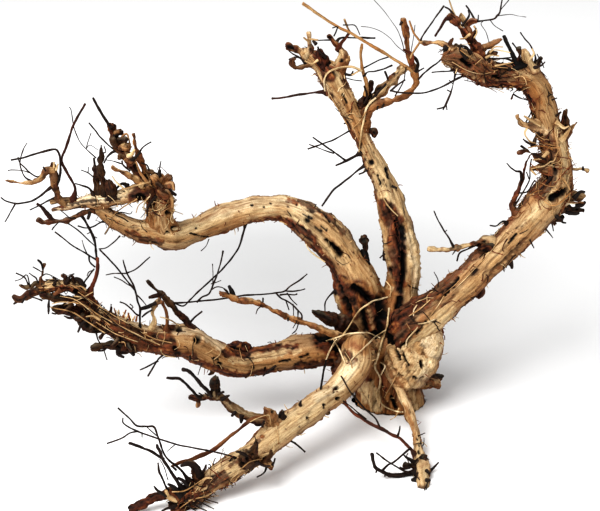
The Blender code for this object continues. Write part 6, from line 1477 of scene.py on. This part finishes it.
# Presses marks into the height, lays or lifts bark, and gives back what they paint. A mark's edge is
# roughened by noise, and only the wood that faces the viewer near its line is touched.
def pressMarks(marks, places, facing, height, bark):
    across, down = sheetOf(places)[:2]
    paints = []
    for kind, width, strength, points in marks:
        line = np.array(points, float)
        edge = width * 1.7 + 1
        box = facing & (across > line[:, 0].min() - edge) & (across < line[:, 0].max() + edge)
        box &= (down > line[:, 1].min() - edge) & (down < line[:, 1].max() + edge)
        if not box.any():
            continue
        away = lineDistance(across[box], down[box], points)
        ragged = 0.9 if kind in ("hole", "knot") else 2.6
        away = (away + ragged * waves(places[box], 1.5 + 0.45 * width, seeds["edges"])) / width
        if kind == "bark":
            bark[box] = np.maximum(bark[box], strength * eased((1.2 - away) * 2.5))
            continue
        tone, share, reach, steep = markPaint.get(kind, (kind, strength, *paintEdge))
        share = share * eased((reach - away) * steep)
        if kind == "hole":
            height[box] -= strength * eased((1.2 - away) * 1.3)
        elif kind == "knot":
            rim = 0.6 * np.exp(-((away - 1.1) / 0.35) ** 2)
            height[box] += strength * (rim - eased(1 - away))
        elif kind == "ridge":
            height[box] += strength * eased(1.2 - away)
        elif kind == "dent":
            height[box] -= strength * eased(1.2 - away)
        else:
            bark[box] *= 1 - 0.85 * share
        paints.append((box, tone, share))
    return paints


# The wood's relief in millimetres and its colour. Lumps and knobs are noise in space; flutes, grain
# ridges and pits are noise drawn out along the grain; marks are drawn on the sheet. The colour holds
# painted shade below, in flutes, pits, dents, holes and along the sides, and painted light on top and
# on the ridges.
def weathered(grid, grain, name, looks, marks, base):
    outward = gridNormals(grid).reshape(-1, 3)
    places = grid.reshape(-1, 3)
    grainFlat = grain.reshape(-1, 3)
    wander = 2.2 * waves(grainFlat, 30, seeds["wander"]) + 0.8 * waves(grainFlat, 9, seeds["quiver"])
    bent = grainFlat + np.stack([0 * wander, wander, -wander], axis=-1)

    def drawnOut(along, wide, key):
        return waves(bent / [along, wide, wide], 1, seeds[key])

    high, size = looks["lumps"]
    height = high * layers(places, size, seeds["lumps"], 2)
    high, size = looks["knobs"]
    height += high * waves(places, size, seeds["knobs"])
    high, along, wide = looks["flutes"]
    flutes = drawnOut(along, wide, "flutes")
    height -= high * np.clip(0.35 - np.abs(flutes), 0, 1) * 2.5
    high, along, wide = looks["grainRidges"]
    ridges = drawnOut(along, wide, "grainRidges")
    height += high * ridges
    high, along, wide = looks["pits"]
    pits = drawnOut(along, wide, "pits") + 0.25 * layers(places, 22, seeds["pitFields"], 2)
    pits = eased((pits - 0.78) * 6)
    height -= high * pits
    facing, bark = barkCover(places, outward, looks)
    paints = pressMarks(marks, places, facing, height, bark)
    high, along, wide = looks["barkChips"]
    chips = drawnOut(along, wide, "chips") + 0.5 * waves(places, 1.8, seeds["chipGrit"])
    height += bark * (high * chips + 0.4)
    height += grownTogether(places, name, looks["fillet"])

    up = outward[:, 2]
    band = 0.5 + 0.9 * drawnOut(*colourLooks["grainTone"], "grainTone")
    colour = mixed(np.broadcast_to(tones[base[0]], places.shape), tones[base[1]], band)
    size, share = colourLooks["goldPatches"]
    patches = eased((waves(places, size, seeds["goldPatches"]) - 0.05) * 2)
    colour = mixed(colour, tones["gold"], patches * share)
    # painted shade where the wood faces down, and painted highlight where it faces up
    colour = mixed(colour, tones["ochre"], np.clip(0.15 - up, 0, 1) * colourLooks["below"])
    colour = mixed(colour, tones["cream"], np.clip(up - 0.2, 0, 1) * colourLooks["above"])
    # the marks' colours, with painted shade in dents and a painted highlight on ridges
    for box, tone, share in paints:
        if tone != "black":
            colour[box] = mixed(colour[box], tones[tone], share)
    colour = mixed(colour, tones["bark"], bark * 0.92)
    colour = mixed(colour, tones["rust"], bark * eased(chips * 1.5 + 0.1) * 0.9)
    colour = mixed(colour, tones["gold"], bark * eased(chips * 1.8 - 0.65) * 0.8)
    colour = mixed(colour, tones["black"], bark * eased(-chips * 1.8 - 0.3) * 0.95)
    along, wide, share = colourLooks["cracks"]
    cracks = eased((0.16 - np.abs(drawnOut(along, wide, "cracks"))) * 7)
    colour = mixed(colour, tones["ochre"], cracks * share * (1 - bark))
    # painted shade in the flutes' grooves and in the pits, and painted light on the grain ridges with
    # painted shade between them
    colour = mixed(colour, tones["umber"], eased((0.1 - np.abs(flutes)) * 8) * colourLooks["fluteShade"])
    colour = mixed(colour, tones["umber"], pits * colourLooks["pitShade"])
    colour = colour * (1 + colourLooks["ridgeLight"] * ridges)[:, None]
    colour = colour * darkStems.get(base[0], 1)
    # black last: knots, and painted shade in the holes
    for box, tone, share in paints:
        if tone == "black":
            colour[box] = mixed(colour[box], tones[tone], share)
    return (places + outward * height[:, None]).reshape(grid.shape), colour.reshape(grid.shape)


# A limb's finished part: its grid weathered, with its poles moved as their rings were
def weatheredPart(tube, grain, name, looks, marks, base):
    grid, colour = weathered(tube["grid"], grain, name, looks, marks, base)
    shift = np.stack([(grid[end] - tube["grid"][end]).mean(axis=0) for end in (0, -1)])
    noteDepth(grid)
    return {"grid": grid, "poles": tube["poles"] + shift, "grain": grain, "colour": colour}


def limbPart(tube, grain, name, looks):
    return weatheredPart(tube, grain, name, looks, limbMarks.get(name, []), limbTones[name])


limbParts = {}
for name, rows in thickLimbs.items():
    route = smoothRoute(inSpace(rows), limbLooks["spacing"])
    sides = int(2 * math.pi * np.median(route[:, 3]) / limbLooks["spacing"]) + 1
    tube = tubeGrid(route, sides)
    looks = stumpLooks if name in ("stump", "crown") else limbLooks
    limbParts[name] = limbPart(tube, grainOf(tube), name, looks)

# Burls: centre + half size times the direction of a pole-to-pole grid. Their grain runs down to the left.
burlGrain = np.array([[0.55, 0, 0.83], [0.83, 0, -0.55], [0, 1, 0]]).T
for name, (middle, half) in burlShapes.items():
    rings = int(math.pi * half.max() / limbLooks["spacing"])
    sides = 2 * rings
    drop = (np.arange(rings - 1) + 1) * math.pi / rings
    turn = np.arange(sides) * 2 * math.pi / sides
    direction = np.stack([np.sin(drop)[:, None] * np.cos(turn), np.sin(drop)[:, None] * np.sin(turn),
                          np.broadcast_to(-np.cos(drop)[:, None], (rings - 1, sides))], axis=-1)
    poles = middle + half * np.array([[0, 0, -1.0], [0, 0, 1.0]])
    tube = {"grid": middle + half * direction, "poles": poles}
    limbParts[name] = limbPart(tube, (half * direction) @ burlGrain, name, burlLooks)

limbPieces = {
    "stumpWood": ("stump", "crown", "backBurl", "brainBurl", "brainBurlSide", "rightBurlLip"),
    "archLimbWood": ("archLimb",), "archCrownWood": ("archCrown", "archPaleBranch"),
    "lowLimbWood": ("lowLimb", "darkRidge"), "centreLimbWood": ("centreLimb",),
    "rightLimbWood": ("rightLimb",), "frontLimbWood": ("frontLimb", "frontLeg"),
}
for name, members in limbPieces.items():
    woodPiece(name, [limbParts[member] for member in members], rootWood)
print("limbs grown")

stemLooks = {
    "spacing": 1.5,
    "thickSpacing": 0.9,
    "thinnest": 0.45,                         # no stem is drawn thinner than this radius
    "thick": 2.4,                             # a stem that is thicker than this is weathered as a limb is
    "wobble": 0.35,                           # share of the radius that the line strays by
    "wobbleSize": (8.0, 14.0),                # of a thin stem and a thick one
    "swellings": ((0.18, 5.0), (0.12, 1.9)),  # shares of the radius that come and go, and their lengths
    "flare": 0.8,                             # by what share a stem widens where it leaves the wood
    "side": (1.1, 0.85),                      # width of a face round a thin stem and a thick one
    "ridges": 0.16,                           # height of a thin stem's ridges, as a share of its radius
    "near": 30,                               # limbs further off than this don't flare it
    "seedStep": 17,                           # from one length of a group's name to the next
    "apart": (13.7, 11.0),                    # how far apart two seeds read the wobble and the grain
}
firstSeeds = {"roots": 300, "rootlets": 500, "twigs": 700, "hairs": 900}


# Distance from a path to the skin of the nearest limb
def buriedBy(path):
    gap = np.full(len(path), farAway)
    for route in limbRoutes.values():
        if inBox(path, route, stemLooks["near"]).any():
            gap = np.minimum(gap, skinDistance(path, route))
    return gap


# A stem: the same tube as a limb, with a wandering line and swellings
def stemPart(route, seed, tone, marks=(), flare=stemLooks["flare"]):
    radius = route[:, 3].copy()
    thick = bool(radius[len(radius) // 4:].max() > stemLooks["thick"])
    steps = np.linalg.norm(np.diff(route[:, :3], axis=0), axis=1)
    length = np.concatenate([[0], np.cumsum(steps)])
    apart, grainApart = stemLooks["apart"]
    marker = np.column_stack([length, np.full(len(route), seed * apart), 0 * radius])
    size = stemLooks["wobbleSize"][thick]
    stray = np.stack([waves(marker, size, seed % 7 + k) for k in range(3)], axis=-1)
    fade = eased(length / 6) * eased((length[-1] - length) / 6)
    path = route[:, :3] + stray * (stemLooks["wobble"] * np.minimum(radius, 2.5) * fade)[:, None]
    (long, longSize), (short, shortSize) = stemLooks["swellings"]
    radius = radius * (1 + long * waves(marker, longSize, 3) + short * waves(marker, shortSize, 5))
    if flare and not thick:
        radius = radius * (1 + flare * np.exp(-np.clip(buriedBy(path), 0, None) / (1.2 * radius)))
    sides = int(np.clip(2 * math.pi * np.median(radius) / stemLooks["side"][thick], 5, 60))
    tube = tubeGrid(np.column_stack([path, radius]), sides, (0.3, 0.45))
    grain = grainOf(tube) + [seed * grainApart, 0, 0]
    if thick:
        return weatheredPart(tube, grain, "", branchLooks, marks, tone)
    ridges = waves(grain / [7, 1.1, 1.1], 1, 5) + 0.6 * waves(tube["grid"], 2.2, 9)
    relief = stemLooks["ridges"] * np.median(radius) * ridges
    grid = tube["grid"] + gridNormals(tube["grid"]) * relief[..., None]
    band = 0.5 + 0.9 * waves(grain / [11, 2.0, 2.0], 1, 15)
    colour = mixed(np.broadcast_to(tones[tone[0]], grid.shape), tones[tone[1]], band)
    # painted light on the stem's ridges and painted shade between them
    colour = colour * (1 + 0.3 * ridges)[..., None]
    noteDepth(grid)
    return {"grid": grid, "poles": tube["poles"], "grain": grain, "colour": colour}


for group, rows in stems.items():
    parts = []
    for number, (root, tip, points) in enumerate(rows):
        thick = max(radius for across, down, radius in points[1:]) > stemLooks["thick"]
        spacing = stemLooks["thickSpacing" if thick else "spacing"]
        route = smoothRoute(inSpace(withDepth(root, tip, points)), spacing)
        route[:, 3] = np.maximum(route[:, 3], stemLooks["thinnest"])
        tone = stemTones.get(group, {}).get(number, warm if thick else dark)
        seed = number + len(group) * stemLooks["seedStep"]
        parts.append(stemPart(route, seed, tone, stemMarks.get(group, ())))
    woodPiece(group + "Wood", parts, rootWood)
print("stems grown")


# Fine twigs and nubs: each starts in the nearest wood at its first point, and its depth changes evenly
# by its lean towards its tip
def fineRoute(lean, points):
    across, down = np.array(points[0][0]), np.array(points[0][1])
    column, row = sheetCell(across, down)
    reach = nearestWood[max(column - 3, 0):column + 4, max(row - 3, 0):row + 4].min()
    root = (eyePlace + eyeLine(across, down) * reach)[1] + points[0][2]
    return smoothRoute(inSpace(withDepth(root, root + lean, points)), stemLooks["spacing"])


fineFlare = 0.5
for group, rows in fineTwigs.items():
    parts = [stemPart(fineRoute(lean, points), firstSeeds["twigs"] + number, tone, (), fineFlare)
             for number, (tone, lean, points) in enumerate(rows)]
    woodPiece(group + "Twigs", parts, rootWood)
print("fine twigs grown")

# Shares of the drawn radius that the laid roots have
laidShares = {"right": 0.62, "low": 0.75, "front": 0.8, "arch": 0.85, "stump": 0.85}
laidLooks = {"spacing": 1.2, "above": 0.3, "window": 9}    # above: how much of its radius it is lifted by


# Roots that lie on the wood: a root follows the nearest wood along its drawn line, half sunk in it.
# Between two rests it runs straight on.
def laidRoute(points, lift):
    flat = smoothRoute([(across, down, 0, radius) for across, down, radius in points], laidLooks["spacing"])
    across, down, radius = flat[:, 0], flat[:, 1], flat[:, 3]
    column, row = sheetCell(across, down)
    near = [nearestWood[np.clip(column + a, 0, sheetSize[0] - 1), np.clip(row + b, 0, sheetSize[1] - 1)]
            for a in (-1, 0, 1) for b in (-1, 0, 1)]
    reach = np.min(near, axis=0)
    found = reach < farAway
    steps = np.arange(len(reach))
    reach = np.interp(steps, steps[found], reach[found])
    window = np.hanning(laidLooks["window"])[1:-1]
    padded = np.pad(reach, len(window) // 2, mode="edge")
    smooth = np.convolve(padded, window / window.sum(), mode="valid")
    reach = np.minimum(smooth, reach + 0.001)
    place = eyePlace + eyeLine(across, down) * reach[:, None]
    back = eyePlace - place
    back /= np.linalg.norm(back, axis=1)[:, None]
    arch = lift * np.sin(np.linspace(0, math.pi, len(reach)))
    return np.column_stack([place + back * (laidLooks["above"] * radius + arch)[:, None], radius * reach])


for group, rows in laidRoots.items():
    slim = [1, 1, 1, laidShares.get(group, 1.0)]
    parts = [stemPart(laidRoute(points, lift) * slim, firstSeeds["roots"] + number, tone, (), 0)
             for number, (tone, lift, points) in enumerate(rows)]
    woodPiece(group + "Roots", parts, rootWood)
print("roots laid")

# Rootlets that creep over a limb: each starts on its skin between two drawn places and wanders over the
# limb's own grid, lifting off a little on its way
rootletLooks = {
    "step": 1.3,
    "turning": 0.3,              # radians a step, on average
    "radius": (0.28, 0.62),      # least and most
    "length": (8, 24),
    "tip": 0.6,                  # radius at the tip, as a share
    "above": 0.4,                # how much of its radius it is lifted by
    "seed": 20,
}


def rootletRoute(grid, outward, start, lift):
    rings, sides = grid.shape[:2]
    step = rootletLooks["step"]
    count = int(draw.uniform(*rootletLooks["length"]) / step)
    heading = draw.uniform(0, 2 * math.pi) + np.cumsum(draw.normal(0, rootletLooks["turning"], count))
    ring = np.clip(start + np.cumsum(np.cos(heading)) * step / limbLooks["spacing"], 1, rings - 2)
    turn = draw.uniform(0, sides) + np.cumsum(np.sin(heading)) * step / limbLooks["spacing"]
    spot = grid[ring.astype(int), turn.astype(int) % sides]
    away = outward[ring.astype(int), turn.astype(int) % sides]
    radius = draw.uniform(*rootletLooks["radius"]) * np.linspace(1, rootletLooks["tip"], count)
    rise = lift * draw.uniform(0, 1) * np.linspace(0, 1, count) ** 2
    path = spot + away * (rootletLooks["above"] * radius + rise)[:, None]
    return smoothRoute(np.column_stack([path, radius])[::3], stemLooks["spacing"])


draw = np.random.default_rng(rootletLooks["seed"])
for group, rows in rootletPatches.items():
    parts = []
    for limb, first, last, count, lift, rootTones in rows:
        grid = limbParts[limb]["grid"]
        outward = gridNormals(grid)
        across, down = sheetOf(grid.mean(axis=1))[:2]
        ends = [int(np.argmin(np.hypot(across - u, down - v))) for u, v in (first, last)]
        for number in range(count):
            start = draw.integers(min(ends), max(ends) + 1)
            tone = rootTones[draw.integers(len(rootTones))]
            route = rootletRoute(grid, outward, start, lift)
            if len(route) > 3:
                parts.append(stemPart(route, firstSeeds["rootlets"] + number, tone, (), 0))
    woodPiece(group + "Rootlets", parts, rootWood)

# Hairs: a root on the skin, and a tip that leans off it along the outward line and a random aside
hairLooks = {
    "spacing": 1.1,
    "length": (0.8, 2.8),      # least and most
    "radius": (0.22, 0.42),
    "aside": 0.7,
    "tones": (dusty, russet, reddish),
}
parts = []
for limb, count in hairCounts.items():
    grid = limbParts[limb]["grid"]
    outward = gridNormals(grid)
    for number in range(count):
        ring, turn = draw.integers(2, grid.shape[0] - 2), draw.integers(grid.shape[1])
        root, away = grid[ring, turn], outward[ring, turn]
        reach = draw.uniform(*hairLooks["length"])
        bend = (away + draw.normal(0, hairLooks["aside"], 3)) * reach
        radius = draw.uniform(*hairLooks["radius"])
        middle = root + away * 0.6 * reach + 0.3 * bend
        tip = root + away * 0.6 * reach + bend
        rows = [[*(root - away), 1.5 * radius], [*middle, radius], [*tip, 0.6 * radius]]
        tone = hairLooks["tones"][draw.integers(3)]
        route = smoothRoute(rows, hairLooks["spacing"])
        parts.append(stemPart(route, firstSeeds["hairs"] + number, tone, (), 0))
woodPiece("limbHairs", parts, rootWood)
print("rootlets grown")

# Studio: a pale floor with a grey patch of painted shade behind the wood, an even pale sky and a large
# soft light from the upper left
studio = {
    "floorSize": 12.0,
    "floorFinish": (0.9, 0.1),       # roughness and gloss
    # painted shade: the floor is painted grey behind the wood, darkest in the patch's middle
    "shadeMiddle": (-0.12, 0.32),    # metres: the middle of the grey patch on the floor behind the wood,
    "shadeHalf": (0.62, 0.5),        # and its half width and depth
    "shadeGreys": ((0.0, 0.95), (0.3, 0.78), (0.75, 0.56), (1.0, 0.52)),
    "skyStrength": 0.57,
    "keyPlace": (-1.1, -1.3, 2.0),
    "keyAim": (0, 0, 0.15),
    "keySize": 1.5,
    "keyPower": 60.0,
    "lens": 78,
    "sensor": 36,
}
bpy.ops.mesh.primitive_plane_add(size=studio["floorSize"])
floor = bpy.context.object
floor.name = "floor"
floorFinish, floorTree, floorShader = newMaterial("pale floor", *studio["floorFinish"])
half = np.array([*studio["shadeHalf"], 1])
middle = np.array([*studio["shadeMiddle"], 0])
floorPlace = addNode(floorTree, "ShaderNodeTexCoord")
floorMapping = addNode(floorTree, "ShaderNodeMapping", Scale=tuple(1 / half),
                       Location=tuple(-middle / half))
floorPatch = addNode(floorTree, "ShaderNodeTexGradient")
floorPatch.gradient_type = "SPHERICAL"
floorShade = addRamp(floorTree, [(place, (grey, grey, grey)) for place, grey in studio["shadeGreys"]])
floorTree.links.new(floorPlace.outputs["Object"], floorMapping.inputs["Vector"])
floorTree.links.new(floorMapping.outputs["Vector"], floorPatch.inputs["Vector"])
floorTree.links.new(floorPatch.outputs["Fac"], floorShade.inputs["Fac"])
floorTree.links.new(floorShade.outputs["Color"], floorShader.inputs["Base Color"])
floor.data.materials.append(floorFinish)

scene = bpy.context.scene
scene.world = bpy.data.worlds.new("pale sky")
scene.world.use_nodes = True
sky = scene.world.node_tree.nodes["Background"]
sky.inputs["Color"].default_value = (1, 1, 1, 1)
sky.inputs["Strength"].default_value = studio["skyStrength"]

keyLight = bpy.data.lights.new("key light", "AREA")
keyLight.size = studio["keySize"]
keyLight.energy = studio["keyPower"]
key = bpy.data.objects.new("key light", keyLight)
key.location = studio["keyPlace"]
scene.collection.objects.link(key)
aim = np.array(studio["keyAim"]) - studio["keyPlace"]
tilt = math.atan2(math.hypot(aim[0], aim[1]), -aim[2])
key.rotation_euler = (tilt, 0, math.atan2(aim[1], aim[0]) - math.pi / 2)

lens = bpy.data.cameras.new("camera")
lens.lens = studio["lens"]
lens.sensor_width = studio["sensor"]
camera = bpy.data.objects.new("camera", lens)
camera.location = eyePlace * mm
camera.rotation_euler = (math.pi / 2 - eye["pitch"], 0, 0)
scene.collection.objects.link(camera)
scene.camera = camera
scene.view_settings.view_transform = "Standard"
scene.view_settings.look = "High Contrast"
print("studio set")
